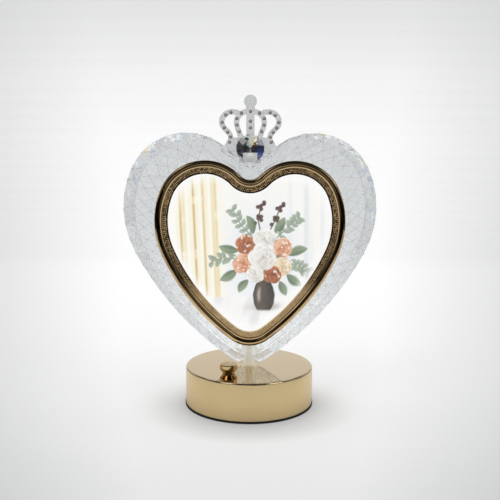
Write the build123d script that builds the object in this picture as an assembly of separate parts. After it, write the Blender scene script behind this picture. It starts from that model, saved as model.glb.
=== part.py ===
"""Heart shaped photo frame with light: clear faceted heart with a gilt bezel, crown, stem and drum base.

Millimetres. Origin on the floor under the centre of the base, +Z up, the picture faces -Y.
"""
import os
from math import atan2, cos, degrees, radians, sin, sqrt

from build123d import *

os.makedirs("parts", exist_ok=True)

# Fits
SLIP = 0.3
CLOSE = 0.15
RUN = 0.05
SEAT = 0.02

# Heart outlines: tip height over the drum, lobe centre, radii of lobe, side and flank with the angles where
# they meet, tip and cleft radii
CLEAR_HEART = dict(tip_rise=-0.26, lobe_x=46.8, r_lobe=44.6, a_side=24.0, r_side=71.0, a_flank=-27.5,
                   r_flank=225.0, r_tip=20.0, tip_growth=1.0, r_cleft=20.0)
BEZEL_HEART = dict(tip_rise=18.97, lobe_x=32.2, r_lobe=35.0, a_side=21.0, r_side=60.0, a_flank=-24.0,
                   r_flank=157.0, r_tip=22.0, tip_growth=0.68, r_cleft=9.5)

# Clear heart shells
FACETS = 52
FRONT_Y = -13.0
REAR_Y = 15.0
WALL = 2.5
RIM_WALL = 3.0
EDGE_INSET = 9.0
LATTICE_STEPS = ((0.0, 0.0), (0.25, 6.5), (0.5, 10.8), (0.75, 13.6), (1.0, REAR_Y))
PLATEAU_GROWTH = 0.5
DIAMOND_RISE = 0.9
CAVITY_WAIST_Y = 7.6
CAVITY_WAIST_INSET = 11.5
CAVITY_REAR_GROWTH = 1.0

# Bezel, measured inward from its outer edge
BEZEL_TOP_Y = -18.4
BEZEL_BED_Y = -15.2
MOULDING = 4.2
RIDGE = 0.8
RIDGE_RISE = 1.4
LIP = 0.6
LIP_RISE = 0.6
OPENING = 9.6
MOULDING_ROUND = 1.9
WINDOW_EDGE = 7.0
WINDOW_THICK = 1.4
PEG_R = 1.0
PEG_LENGTH = 3.3
PEG_INSET = 2.3
PEG_STATIONS = (0.2, 0.5, 0.8)

# Light box and what it holds
BOX_INSET = 4.9
BOX_WALL = 1.8
BOX_FLANGE_INSET = 2.0
BOX_FLANGE_THICK = 2.0
LEDGE_INSET = 8.9
FLOOR_Y = 6.0
FLOOR_THICK = 2.0
PRINT_THICK = 0.25
DIFFUSER_THICK = 2.0
TIP_BLOCK = 13.0
TIP_BLOCK_FRONT_Y = -8.0
STEM_SEAT_R = 6.0
LAMP_BOARD_INSET = 17.0
LAMP_BOARD_WIDTH = 9.0
LAMP_BOARD_THICK = 1.2
LAMPS = 26
LAMP_SIZE = (3.5, 0.8, 2.8)
STAKE_R = 1.0
STAKE_STATIONS = (6 / LAMPS, 16 / LAMPS)

# Rear cover
COVER_INSET = 0.6
COVER_THICK = 2.2
COVER_ROUND = 0.8
COVER_SCREW_INSET = 11.5
COVER_SCREW_STATIONS = (0.3, 0.72)
COVER_BOSS_R = 3.0

# Pan head screws: shank radius, head radius, head height, shank length
COVER_SCREW = (1.2, 2.3, 1.4, 7.5)
BOARD_SCREW = (1.0, 2.0, 1.4, 6.0)
CHARGE_SCREW = (1.0, 1.9, 1.3, 5.0)
COUNTERBORE = 1.0

# Crown plate, heights over the bottom of the heart's cleft
CROWN_THICK = 4.0
BAND = 3.9
BALL_RISE = 42.4
BALL_R = 4.7
NECK_HALF = 3.3
POST_HALF = 3.0
ARCH_RISE = 35.2
FOOT_HALF = 19.2
FOOT_RISE = 9.5
WAIST_HALF = 16.0
WAIST_RISE = 16.0
FOOT_CREST = 1.5
OUTER_ARCH = ((14.2, 16.0), (16.6, 20.9), (20.2, 25.0), (20.7, 29.0), (17.6, 33.5), (13.2, 34.8), (8.6, 33.8))
INNER_ARCH = ((7.0, 17.0), (9.2, 23.0), (10.0, 28.2), (7.4, 33.1), (3.6, 34.9), (0.0, ARCH_RISE))
TONGUE_HALF = 8.0
TONGUE_DROP = 6.9
PAD_R = 8.5
PAD_THICK = 1.0

# Stones
STONE_R = 1.3
STONE_SET = 0.8
STONE_RISE = 0.55
STONE_TABLE = 0.75
OUTER_STONES = ((14.2, 34.5), (17.8, 32.5), (20.6, 27.4), (19.0, 23.4), (16.6, 20.3), (14.5, 16.9),
                (15.3, 13.2))
INNER_STONES = ((6.6, 34.0), (10.0, 30.2), (9.9, 25.5), (8.2, 20.8))
CENTRE_STONES = (35.3, 28.2, 23.5)
JEWEL_HEIGHT = 8.6
JEWEL_R = 10.3
JEWEL_GIRDLE = 1.6
JEWEL_RING_R = 5.9
JEWEL_RING_RISE = 4.4
JEWEL_RISE = 5.6
JEWEL_SIDES = 16

# Drum base
DRUM_R = 48.0
DRUM_TOP = 29.1
DRUM_EDGE = 1.2
DRUM_WALL = 1.8
DRUM_DECK = 2.0
PAD_LIP = 0.4
FOOT_THICK = 1.5
PLATE_THICK = 2.0
BASE_SCREW_EDGE = 5.2
BASE_SCREW_ANGLES = (0.0, 180.0, 270.0)
BASE_BOSS_R = 3.2
BASE_SCREW_R = 1.2
BASE_SCREW_HEAD_R = 2.6
BASE_SCREW_LENGTH = 11.0
BALLAST_GAP = 4.8
BALLAST_THICK = 3.0
BALLAST_BORE = 8.0

# Stem and its tube
STEM_LENGTH = 17.9
STEM_FLANGE_R = 7.2
STEM_FLANGE = 2.6
STEM_FOOT_R = 6.4
STEM_TOP_R = 5.3
STEM_BORE_FOOT = 4.0
STEM_BORE_TOP = 2.9
TUBE_R = 2.2
TUBE_BORE = 1.5
TUBE_TAIL = 2.9
TUBE_PROUD = 0.8
NUT_FLATS = 7.5
NUT_THICK = 2.6
WASHER_R = 4.6
WASHER_THICK = 0.6

# Dimmer
DIMMER_X = -15.0
DIMMER_EDGE = 23.2
KNOB_HEIGHT = 7.1
KNOB_R = 6.5
KNOB_NECK_R = 4.5
KNOB_SHOULDER = 3.4
KNOB_GAP = 0.3
KNOB_EDGE = 0.5
KNOB_CAP = 1.6
SHAFT_R = 3.0
BUSH_R = 3.9
DIMMER_R = 8.0
DIMMER_ROOM = 1.6
DIMMER_HEIGHT = 7.5
BUSH_SINK = 0.4
SHAFT_FLOOR = 2.0

# Boards, cell and leads in the base
BOARD_THICK = 1.6
BOARD_LENGTH = 28.0
BOARD_WIDTH = 20.0
BOARD_SCREW_X = 11.5
BOARD_SCREW_Y = 7.5
BOARD_BOSS_R = 2.6
CELL_R = 9.1
CELL_CLEAR = 3.6
CELL_EDGE = 25.9
CELL_CAP_R = 3.0
CELL_CAP = 0.5
CRADLE_FLOOR = 1.0
CRADLE_HALF_WIDTH = 5.0
CRADLE_WALL = 1.2
CRADLE_HEIGHT = 13.5
SADDLE_X = 20.0
SADDLE_LENGTH = 8.0
SADDLE_HALF_WIDTH = 8.4
SADDLE_HEIGHT = 5.5
CHARGE_HALF = 12.0
CHARGE_EDGE = 0.7
CHARGE_DEPTH = 10.5
CHARGE_RISE = 7.5
CHARGE_THICK = 1.2
CHARGE_POST_X = 9.0
CHARGE_POST_INSET = 3.0
CHARGE_POST_R = 2.2
PORT_WIDTH = 9.0
PORT_HEIGHT = 3.2
PORT_DEPTH = 7.4
PORT_WALL = 0.3
PORT_BACK = 1.2
TONGUE_WIDTH = 6.6
TONGUE_THICK = 0.7
TONGUE_DEPTH = 5.4
LEAD_R = 0.8
LEAD_BEND = 1.6
LEAD_LIFT = 2.5
LEAD_OUT = 2.4
LAMP_PAD_RISE = 13.0
LAMP_BEND_RISE = 7.0
LAMP_LEAD_OFFSET = (8.0, 5.5)
CHARGE_PAD_X = (15.0, 9.5)
CHARGE_PAD_INSET = 3.5
CONTROL_PAD_OFFSETS = ((-10.0, 1.0), (-5.0, -3.0))
LEAD_PASS = 2.2
# Places along the leads: angle round the drum, distance from its inner wall
LEAD_TURN = (57.4, 1.7)
LINK_LEAD_TURNS = ((165.2, 11.0), (201.8, 13.9))

NUDGE = 1.0


def mid(a, b):
    """Mean of two angles or lengths."""
    return (a + b) / 2


def on_circle(centre, radius, angle):
    """Point of a circle at an angle in degrees."""
    return (centre[0] + radius * cos(radians(angle)), centre[1] + radius * sin(radians(angle)))


def heart_arcs(heart, grow=0.0):
    """Right half of a heart grown outward, as (centre, radius, start angle, end angle) from cleft to tip."""
    r_lobe, r_side, r_flank = heart["r_lobe"], heart["r_side"], heart["r_flank"]
    side = on_circle((heart["lobe_x"], 0.0), r_lobe - r_side, heart["a_side"])
    flank = on_circle(side, r_side - r_flank, heart["a_flank"])
    tip_drop = sqrt((r_flank - heart["r_tip"]) ** 2 - flank[0] ** 2) + heart["r_tip"]
    lift = DRUM_TOP + heart["tip_rise"] + tip_drop - flank[1]
    lobe, side, flank = ((x, z + lift) for x, z in ((heart["lobe_x"], 0.0), side, flank))
    r_cleft = heart["r_cleft"]
    cleft = (0.0, lobe[1] + sqrt((r_lobe + r_cleft) ** 2 - lobe[0] ** 2))
    a_cleft = degrees(atan2(lobe[1] - cleft[1], lobe[0]))
    r_tip = heart["r_tip"] + heart["tip_growth"] * grow
    r_flank_grown = r_flank + grow
    tip = (0.0, flank[1] - sqrt((r_flank_grown - r_tip) ** 2 - flank[0] ** 2))
    a_tip = degrees(atan2(tip[1] - flank[1], -flank[0]))
    return (
        (cleft, r_cleft - grow, -90.0, a_cleft),
        (lobe, r_lobe + grow, a_cleft + 180.0, heart["a_side"]),
        (side, r_side + grow, heart["a_side"], heart["a_flank"]),
        (flank, r_flank_grown, heart["a_flank"], a_tip),
        (tip, r_tip, a_tip, -90.0),
    )


def heart_face(heart, grow=0.0):
    """Flat heart in drawing coordinates, its outline made of tangent arcs."""
    cleft, lobe, side, flank, tip = heart_arcs(heart, grow)
    edges = []
    for sense in (1, -1):
        for centre, radius, start, end in (lobe, side, flank):
            points = [on_circle(centre, radius, a) for a in (start, mid(start, end), end)]
            edges.append(ThreePointArc(*[(sense * x, z) for x, z in points]))
    for centre, radius, start, end in (cleft, tip):
        away = start if start != -90.0 else end
        x, z = on_circle(centre, radius, away)
        edges.append(ThreePointArc((-x, z), on_circle(centre, radius, -90.0), (x, z)))
    return make_face(edges)


def heart_point(heart, grow, station):
    """Point of a heart outline: station 0 at the cleft, 1 at the tip, then by the left side to 2."""
    station = station % 2.0
    sense = 1 if station <= 1.0 else -1
    arcs = heart_arcs(heart, grow)
    lengths = [radius * radians(abs(end - start)) for _, radius, start, end in arcs]
    run = sum(lengths) * (station if sense > 0 else 2.0 - station)
    for (centre, radius, start, end), length in zip(arcs, lengths):
        if run <= length or (centre, radius, start, end) == arcs[-1]:
            x, z = on_circle(centre, radius, start + (end - start) * run / length)
            return (sense * x, z)
        run -= length


def slab(face, front_y, rear_y):
    """Drawing face made into a plate between two depths."""
    return extrude(Plane.XZ.offset(-rear_y) * face, rear_y - front_y)


def heart_slab(heart, grow, front_y, rear_y):
    """Heart plate between two depths."""
    return slab(heart_face(heart, grow), front_y, rear_y)


def heart_loft(*sections):
    """Ruled body through (heart, growth, depth) sections."""
    faces = [Plane.XZ.offset(-y) * heart_face(heart, grow) for heart, grow, y in sections]
    return loft(faces, ruled=True)


def polyhedron(faces):
    """Solid bounded by flat polygons given as point lists."""
    return Solid(Shell([Face(Wire.make_polygon([Vector(*p) for p in points])) for points in faces]))


def upright(radius, bottom, top, x=0.0, y=0.0):
    """Vertical cylinder."""
    return Pos(x, y, bottom) * Cylinder(radius, top - bottom, align=(Align.CENTER, Align.CENTER, Align.MIN))


def bar(radius, front_y, rear_y, x, z):
    """Cylinder along Y."""
    return slab(Pos(x, z) * Circle(radius), front_y, rear_y)


def block(x_span, y_span, z_span):
    """Box between two limits on each axis."""
    size = [span[1] - span[0] for span in (x_span, y_span, z_span)]
    return Pos(x_span[0], y_span[0], z_span[0]) * Box(*size, align=(Align.MIN, Align.MIN, Align.MIN))


def turned(profile):
    """Solid of revolution about Z from (radius, height) corners."""
    return revolve(Plane.XZ * make_face(Polyline(*profile, close=True)), Axis.Z)


def both_sides(points):
    """Points with x > 0 and their mirror images."""
    return [(sense * x, z) for x, z in points for sense in (1, -1)]


def stations_both(stations):
    """Heart stations on the right side and the same on the left."""
    return [s for station in stations for s in (station, 2.0 - station)]


def pan_screw(size):
    """Pan head screw along Z: shank upward from the origin, head below it."""
    shank, head, height, length = size
    body = upright(shank, 0, length) + upright(head, -height, 0)
    return fillet(body.edges().group_by(Axis.Z)[0], height / 3)


def lead(points):
    """Round cable along a bent line."""
    path = FilletPolyline(*points, radius=LEAD_BEND)
    return sweep(Plane(path @ 0, z_dir=path % 0) * Circle(LEAD_R), path=path)


def save(node, *shapes):
    """Write one node; a node of several like pieces is a group of solids."""
    solids = [solid for shape in shapes for solid in shape.solids()]
    export_step(solids[0] if len(solids) == 1 else Compound(children=solids), f"parts/{node}.step")


# Shared positions
cavity_front_y = FRONT_Y + WALL
cavity_rear_y = REAR_Y - WALL
window_front_y = FRONT_Y - WINDOW_THICK - SEAT
print_front_y = FRONT_Y + SEAT
diffuser_front_y = print_front_y + PRINT_THICK
ledge_y = diffuser_front_y + DIFFUSER_THICK
plate_top = FOOT_THICK + PLATE_THICK
ballast_top = plate_top + BALLAST_THICK
deck_under = DRUM_TOP - DRUM_DECK
drum_room = DRUM_R - DRUM_WALL
stem_seat_z = DRUM_TOP + STEM_LENGTH
tip_block_z = stem_seat_z + TIP_BLOCK
cleft_arc = heart_arcs(CLEAR_HEART)[0]
cleft_z = cleft_arc[0][1] - cleft_arc[1]
jewel_z = cleft_z + JEWEL_HEIGHT
foot_z = cleft_z + FOOT_RISE
tongue_z = cleft_z - TONGUE_DROP
dimmer_y = DIMMER_EDGE - drum_room
dimmer_top_z = deck_under - DIMMER_ROOM
dimmer_foot_z = dimmer_top_z - DIMMER_HEIGHT
cell_y = drum_room - CELL_EDGE
charge_z = plate_top + CHARGE_RISE
charge_rear_y = sqrt((drum_room - CHARGE_EDGE) ** 2 - CHARGE_HALF ** 2)
charge_front_y = charge_rear_y - CHARGE_DEPTH
port_rear_y = drum_room - SLIP
peg_places = [heart_point(BEZEL_HEART, -PEG_INSET, s) for s in stations_both(PEG_STATIONS)]
cover_screw_places = [heart_point(BEZEL_HEART, -COVER_SCREW_INSET, s)
                      for s in stations_both(COVER_SCREW_STATIONS)]
stake_places = [heart_point(BEZEL_HEART, -LAMP_BOARD_INSET - LAMP_BOARD_WIDTH / 2, s)
                for s in stations_both(STAKE_STATIONS)]
base_screw_ring = drum_room - BASE_SCREW_EDGE
base_screw_places = [on_circle((0.0, 0.0), base_screw_ring, a) for a in BASE_SCREW_ANGLES]
board_screw_places = [(DIMMER_X - BOARD_SCREW_X, dimmer_y + BOARD_SCREW_Y),
                      (DIMMER_X + BOARD_SCREW_X, dimmer_y - BOARD_SCREW_Y)]
charge_post_y = charge_front_y + CHARGE_POST_INSET
charge_screw_places = [(CHARGE_POST_X, charge_post_y), (-CHARGE_POST_X, charge_post_y)]

# Stem: hollow clear taper on a flange, with the brass tube that clamps head and base together
flange_top = DRUM_TOP + STEM_FLANGE
stem = turned([(STEM_BORE_FOOT, DRUM_TOP), (STEM_FLANGE_R, DRUM_TOP),
               (STEM_FLANGE_R, mid(DRUM_TOP, flange_top)), (STEM_FOOT_R, flange_top),
               (STEM_TOP_R, stem_seat_z), (STEM_BORE_TOP, stem_seat_z)])
room_r = STEM_FLANGE_R + SLIP
room_foot = DRUM_TOP - NUDGE
stem_room = turned([(0, room_foot), (room_r, room_foot), (room_r, flange_top),
                    (STEM_FOOT_R + SLIP, flange_top + SLIP),
                    (STEM_TOP_R + SLIP, stem_seat_z), (0, stem_seat_z)])
lower_nut_z = deck_under - WASHER_THICK - NUT_THICK
tube_foot_z = lower_nut_z - TUBE_TAIL
tube_top_z = tip_block_z + WASHER_THICK + NUT_THICK + TUBE_PROUD
stem_tube = upright(TUBE_R, tube_foot_z, tube_top_z) - upright(TUBE_BORE, tube_foot_z, tube_top_z)
tube_hole = TUBE_R + RUN
washer = upright(WASHER_R, 0, WASHER_THICK) - upright(tube_hole, 0, WASHER_THICK)
nut = extrude(RegularPolygon(NUT_FLATS / 2, 6, major_radius=False), NUT_THICK)
nut -= upright(TUBE_R + SEAT, 0, NUT_THICK)
save("stem", stem)
save("stem_tube", stem_tube)
save("tube_washers", Pos(0, 0, deck_under - WASHER_THICK) * washer, Pos(0, 0, tip_block_z) * washer)
save("tube_nuts", Pos(0, 0, lower_nut_z) * nut, Pos(0, 0, tip_block_z + WASHER_THICK) * nut)

# Crown: banded arches over a foot that stands on the heart's cleft and is keyed between the shells
girdle = [heart_point(CLEAR_HEART, 0.0, 2.0 * i / FACETS) for i in range(FACETS)]
girdle_grown = [heart_point(CLEAR_HEART, CLOSE, 2.0 * i / FACETS) for i in range(FACETS)]
half_arches = trace(Spline(*OUTER_ARCH), BAND) + trace(Spline(*INNER_ARCH), BAND)
arches = half_arches + mirror(half_arches, Plane.YZ)
foot = make_face(Polyline((0, -TONGUE_DROP), (FOOT_HALF, -TONGUE_DROP), (FOOT_HALF, FOOT_RISE),
                          (WAIST_HALF, WAIST_RISE), (0, WAIST_RISE + FOOT_CREST), close=True))
foot = foot + mirror(foot, Plane.YZ)
post = Pos(0, mid(WAIST_RISE, ARCH_RISE)) * Rectangle(2 * POST_HALF, ARCH_RISE - WAIST_RISE)
neck = Pos(0, mid(ARCH_RISE, BALL_RISE)) * Rectangle(2 * NECK_HALF, BALL_RISE - ARCH_RISE)
ball = Pos(0, BALL_RISE) * Circle(BALL_R)
crown_drawing = arches + foot + post + neck + ball
heart_plate = make_face(Polyline(*girdle_grown, close=True))
tongue = Pos(0, mid(tongue_z, foot_z)) * Rectangle(2 * TONGUE_HALF, foot_z - tongue_z)
crown_face = Pos(0, cleft_z) * crown_drawing - heart_plate + tongue
crown_front_y = -CROWN_THICK / 2
stone_rises = both_sides(OUTER_STONES + INNER_STONES) + [(0.0, rise) for rise in CENTRE_STONES]
stone_places = [(x, cleft_z + rise) for x, rise in stone_rises]
crown = slab(crown_face, crown_front_y, -crown_front_y)
crown += bar(PAD_R, crown_front_y - PAD_THICK, crown_front_y, 0, jewel_z)
for x, z in stone_places:
    crown -= bar(STONE_R + RUN, crown_front_y - NUDGE, crown_front_y + STONE_SET, x, z)
save("crown", crown)

# Small stones: round cups with a bevelled front
stone = turned([(0, 0), (STONE_R, 0), (STONE_R, STONE_SET), (STONE_TABLE, STONE_SET + STONE_RISE),
                (0, STONE_SET + STONE_RISE)])
stone = Rot(90, 0, 0) * stone
save("crown_stones", *[Pos(x, crown_front_y + STONE_SET, z) * stone for x, z in stone_places])

# Large stone: flat back, polygon girdle, two rows of facets up to a point
jewel_back_y = crown_front_y - PAD_THICK
jewel_centre = (0.0, jewel_z)


def jewel_ring(count, radius, rise, turn):
    """Ring of points in front of the stone's back."""
    angles = [360.0 / count * (i + turn) for i in range(count)]
    return [(x, jewel_back_y - rise, z) for x, z in (on_circle(jewel_centre, radius, a) for a in angles)]


back = jewel_ring(JEWEL_SIDES, JEWEL_R, 0.0, 0.5)
rim = jewel_ring(JEWEL_SIDES, JEWEL_R, JEWEL_GIRDLE, 0.5)
ring = jewel_ring(JEWEL_SIDES // 2, JEWEL_RING_R, JEWEL_RING_RISE, 0.5)
point = (0.0, jewel_back_y - JEWEL_RISE, jewel_z)
jewel_faces = [back]
for i in range(JEWEL_SIDES):
    j = (i + 1) % JEWEL_SIDES
    jewel_faces.append((back[i], back[j], rim[j], rim[i]))
for k in range(len(ring)):
    n = (k + 1) % len(ring)
    first, second, third = (rim[(2 * k + step) % JEWEL_SIDES] for step in (0, 1, 2))
    jewel_faces.append((ring[k], first, second))
    jewel_faces.append((ring[k], second, third, ring[n]))
    jewel_faces.append((ring[k], ring[n], point))
save("crown_jewel", polyhedron(jewel_faces))

# Clear front shell: flat face inside a ring of triangular edge facets, open behind
front_ring = [heart_point(CLEAR_HEART, -EDGE_INSET, 2.0 * (i + 1) / FACETS) for i in range(0, FACETS, 2)]
rim_points = [(x, 0.0, z) for x, z in girdle]
face_points = [(x, FRONT_Y, z) for x, z in front_ring]
front_faces = [rim_points, face_points]
for j, tip_point in enumerate(face_points):
    start, peak, end = (rim_points[(2 * j + step) % FACETS] for step in (0, 1, 2))
    front_faces.append((start, peak, tip_point))
    front_faces.append((peak, end, tip_point))
    front_faces.append((end, tip_point, face_points[(j + 1) % len(face_points)]))
front_cavity_inset = EDGE_INSET * cavity_front_y / FRONT_Y + RIM_WALL
slot_half = TONGUE_HALF + CLOSE
slot_depth = CROWN_THICK / 2 + CLOSE
crown_slot = block((-slot_half, slot_half), (-slot_depth, slot_depth), (tongue_z - NUDGE, foot_z))
front_shell = polyhedron(front_faces)
front_shell -= heart_loft((CLEAR_HEART, -RIM_WALL, 0.0), (CLEAR_HEART, -front_cavity_inset, cavity_front_y))
front_shell -= heart_slab(BEZEL_HEART, -BOX_INSET + SLIP, FRONT_Y - NUDGE, cavity_front_y + NUDGE)
front_shell -= stem_room
front_shell -= crown_slot
for x, z in peg_places:
    front_shell -= bar(PEG_R + RUN, FRONT_Y - NUDGE, cavity_front_y + NUDGE, x, z)
save("heart_front_shell", front_shell)

# Clear rear shell: lattice of low diamond pyramids from the girdle up to the flat that the cover sits on


def lattice_point(step, index):
    """Lattice corner: blend from the clear heart to the cover's seat, odd rows half a cell on."""
    blend, y = LATTICE_STEPS[step]
    station = 2.0 * (index + 0.5 * (step % 2)) / FACETS
    x0, z0 = heart_point(CLEAR_HEART, 0.0, station)
    x1, z1 = heart_point(BEZEL_HEART, PLATEAU_GROWTH, station)
    return (x0 + (x1 - x0) * blend, y, z0 + (z1 - z0) * blend)


def diamond(low, left, right, high):
    """Four facets that rise to a point over a diamond of corners."""
    corners = [Vector(*p) for p in (low, right, high, left)]
    centre = (corners[0] + corners[1] + corners[2] + corners[3]) / 4
    normal = (corners[2] - corners[0]).cross(corners[3] - corners[1]).normalized()
    if normal.Y < 0:
        normal = -normal
    peak = centre + normal * DIAMOND_RISE
    return [(corners[k], corners[(k + 1) % 4], peak) for k in range(4)]


steps = len(LATTICE_STEPS)
lattice = [[lattice_point(step, i) for i in range(FACETS)] for step in range(steps)]
rear_faces = [lattice[0], lattice[-1]]
for i in range(FACETS):
    after = (i + 1) % FACETS
    rear_faces.append((lattice[0][i], lattice[0][after], lattice[1][i]))
    rear_faces.append((lattice[-1][i], lattice[-1][after], lattice[-2][i]))
    for step in range(1, steps - 1):
        left, right = lattice[step][i], lattice[step][after]
        across = after if step % 2 else i
        low, high = lattice[step - 1][across], lattice[step + 1][across]
        rear_faces.extend(diamond(low, left, right, high))
rear_shell = polyhedron(rear_faces)
rear_shell -= heart_loft((CLEAR_HEART, -RIM_WALL, 0.0), (CLEAR_HEART, -CAVITY_WAIST_INSET, CAVITY_WAIST_Y),
                         (BEZEL_HEART, CAVITY_REAR_GROWTH, cavity_rear_y))
rear_shell -= heart_slab(BEZEL_HEART, -BOX_INSET + SLIP, cavity_rear_y - NUDGE, REAR_Y + NUDGE)
rear_shell -= stem_room
rear_shell -= crown_slot
save("heart_rear_shell", rear_shell)

# Gilt bezel: half round outer moulding, ridge, sunken band and lip, with pegs behind
moulding = heart_slab(BEZEL_HEART, 0.0, BEZEL_TOP_Y, FRONT_Y)
moulding -= heart_slab(BEZEL_HEART, -MOULDING, BEZEL_TOP_Y, FRONT_Y)
moulding = fillet(moulding.edges().group_by(Axis.Y)[0], MOULDING_ROUND)
ridge = heart_slab(BEZEL_HEART, -MOULDING + RUN, BEZEL_BED_Y - RIDGE_RISE, FRONT_Y)
band = heart_slab(BEZEL_HEART, -MOULDING - RIDGE, BEZEL_BED_Y - RIDGE_RISE, BEZEL_BED_Y)
lip = heart_slab(BEZEL_HEART, -OPENING + LIP, BEZEL_BED_Y - LIP_RISE, BEZEL_BED_Y)
bezel = moulding + (ridge - band + lip)
bezel -= heart_slab(BEZEL_HEART, -OPENING, BEZEL_TOP_Y, FRONT_Y)
bezel -= heart_slab(BEZEL_HEART, -WINDOW_EDGE + CLOSE, window_front_y - SEAT, FRONT_Y)
for x, z in peg_places:
    bezel += bar(PEG_R, FRONT_Y, FRONT_Y + PEG_LENGTH, x, z)
save("front_bezel", bezel)
save("photo_window", heart_slab(BEZEL_HEART, -WINDOW_EDGE, window_front_y, FRONT_Y - SEAT))

# Light box: heart tray with a flange, floor, ledge, solid tip on the stem, bosses and stakes
box_inner = -BOX_INSET - BOX_WALL
floor_rear_y = FLOOR_Y + FLOOR_THICK
light_box = heart_slab(BEZEL_HEART, -BOX_INSET, FRONT_Y, REAR_Y)
light_box += heart_slab(BEZEL_HEART, -BOX_FLANGE_INSET, cavity_rear_y - BOX_FLANGE_THICK, cavity_rear_y)
light_box -= heart_slab(BEZEL_HEART, box_inner, FRONT_Y, ledge_y)
light_box -= heart_slab(BEZEL_HEART, -LEDGE_INSET, ledge_y, FLOOR_Y)
light_box -= heart_slab(BEZEL_HEART, box_inner, floor_rear_y, REAR_Y)
tip_room = block((-DRUM_R, DRUM_R), (TIP_BLOCK_FRONT_Y, FLOOR_Y), (0, tip_block_z))
light_box += heart_slab(BEZEL_HEART, -BOX_INSET, TIP_BLOCK_FRONT_Y, FLOOR_Y) & tip_room
light_box += upright(STEM_SEAT_R, stem_seat_z, mid(stem_seat_z, tip_block_z))
light_box -= upright(tube_hole, stem_seat_z, tip_block_z)
shank_r = COVER_SCREW[0]
for x, z in cover_screw_places:
    light_box += bar(COVER_BOSS_R, FLOOR_Y, REAR_Y, x, z)
    light_box -= bar(shank_r + SEAT, REAR_Y - COVER_SCREW[3], REAR_Y, x, z)
board_front_y = FLOOR_Y - LAMP_BOARD_THICK
for x, z in stake_places:
    light_box += bar(STAKE_R, board_front_y - LAMP_SIZE[1], FLOOR_Y, x, z)
save("light_box", light_box)
sheet_grow = box_inner - SLIP
save("photo_print", heart_slab(BEZEL_HEART, sheet_grow, print_front_y, diffuser_front_y))
save("diffuser", heart_slab(BEZEL_HEART, sheet_grow, diffuser_front_y, ledge_y))

# Lamp board: heart ring on the tray floor with lamps along its middle
lamp_board = heart_slab(BEZEL_HEART, -LAMP_BOARD_INSET, board_front_y, FLOOR_Y)
lamp_board -= heart_slab(BEZEL_HEART, -LAMP_BOARD_INSET - LAMP_BOARD_WIDTH, board_front_y, FLOOR_Y)
for x, z in stake_places:
    lamp_board -= bar(STAKE_R + CLOSE, board_front_y, FLOOR_Y, x, z)
lamp_places = [heart_point(BEZEL_HEART, -LAMP_BOARD_INSET - LAMP_BOARD_WIDTH / 2, 2.0 * (i + 0.5) / LAMPS)
               for i in range(LAMPS)]
lamp = Box(*LAMP_SIZE, align=(Align.CENTER, Align.MAX, Align.CENTER))
save("led_board", lamp_board)
save("leds", *[Pos(x, board_front_y, z) * lamp for x, z in lamp_places])

# Rear cover and its screws
cover_rear_y = REAR_Y + COVER_THICK
head_y = cover_rear_y - COUNTERBORE
rear_cover = heart_slab(BEZEL_HEART, -COVER_INSET, REAR_Y, cover_rear_y)
rear_cover = fillet(rear_cover.edges().group_by(Axis.Y)[-1], COVER_ROUND)
for x, z in cover_screw_places:
    rear_cover -= bar(shank_r + CLOSE, REAR_Y, cover_rear_y, x, z)
    rear_cover -= bar(COVER_SCREW[1] + CLOSE, head_y, cover_rear_y, x, z)
cover_screw = Rot(90, 0, 0) * pan_screw(COVER_SCREW)
save("rear_cover", rear_cover)
save("rear_cover_screws", *[Pos(x, head_y, z) * cover_screw for x, z in cover_screw_places])

# Drum: turned shell with a rounded top edge, bosses, and holes for tube, dimmer and inlet
drum = turned([(0, FOOT_THICK), (DRUM_R, FOOT_THICK), (DRUM_R, DRUM_TOP), (0, DRUM_TOP)])
drum = fillet(drum.edges().group_by(Axis.Z)[-1], DRUM_EDGE)
drum -= upright(drum_room, FOOT_THICK, deck_under)
for x, y in base_screw_places:
    drum += upright(BASE_BOSS_R, plate_top, deck_under + SEAT, x, y)
    drum -= upright(BASE_SCREW_R + SEAT, plate_top, plate_top + BASE_SCREW_LENGTH, x, y)
for x, y in board_screw_places:
    drum += upright(BOARD_BOSS_R, dimmer_foot_z, deck_under + SEAT, x, y)
    drum -= upright(BOARD_SCREW[0] + SEAT, dimmer_foot_z, dimmer_foot_z + BOARD_SCREW[3], x, y)
drum -= upright(tube_hole, deck_under, DRUM_TOP)
drum -= upright(BUSH_R + CLOSE, deck_under, DRUM_TOP, DIMMER_X, dimmer_y)
port_z = charge_z + CHARGE_THICK + PORT_HEIGHT / 2
port_face = Pos(0, port_z) * RectangleRounded(PORT_WIDTH + 2 * SLIP, PORT_HEIGHT + 2 * SLIP, PORT_HEIGHT / 2)
drum -= slab(port_face, port_rear_y - NUDGE, DRUM_R + NUDGE)
save("base_shell", drum)

# Plate that closes the drum, with posts for the charge board, and the pad under it
base_plate = upright(drum_room - SLIP, FOOT_THICK, plate_top)
for x, y in charge_screw_places:
    base_plate += upright(CHARGE_POST_R, plate_top, charge_z, x, y)
    base_plate -= upright(CHARGE_SCREW[0] + SEAT, charge_z + CHARGE_THICK - CHARGE_SCREW[3], charge_z, x, y)
sink = BASE_SCREW_HEAD_R - BASE_SCREW_R
head_room = turned([(0, FOOT_THICK), (BASE_SCREW_HEAD_R + SEAT, FOOT_THICK),
                    (BASE_SCREW_R + SEAT, FOOT_THICK + sink), (0, FOOT_THICK + sink)])
base_screw = turned([(0, FOOT_THICK), (BASE_SCREW_HEAD_R, FOOT_THICK), (BASE_SCREW_R, FOOT_THICK + sink),
                     (BASE_SCREW_R, plate_top + BASE_SCREW_LENGTH), (0, plate_top + BASE_SCREW_LENGTH)])
for x, y in base_screw_places:
    base_plate -= Pos(x, y, 0) * head_room
    base_plate -= upright(BASE_SCREW_R + SEAT, FOOT_THICK, plate_top, x, y)
save("base_plate", base_plate)
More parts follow.
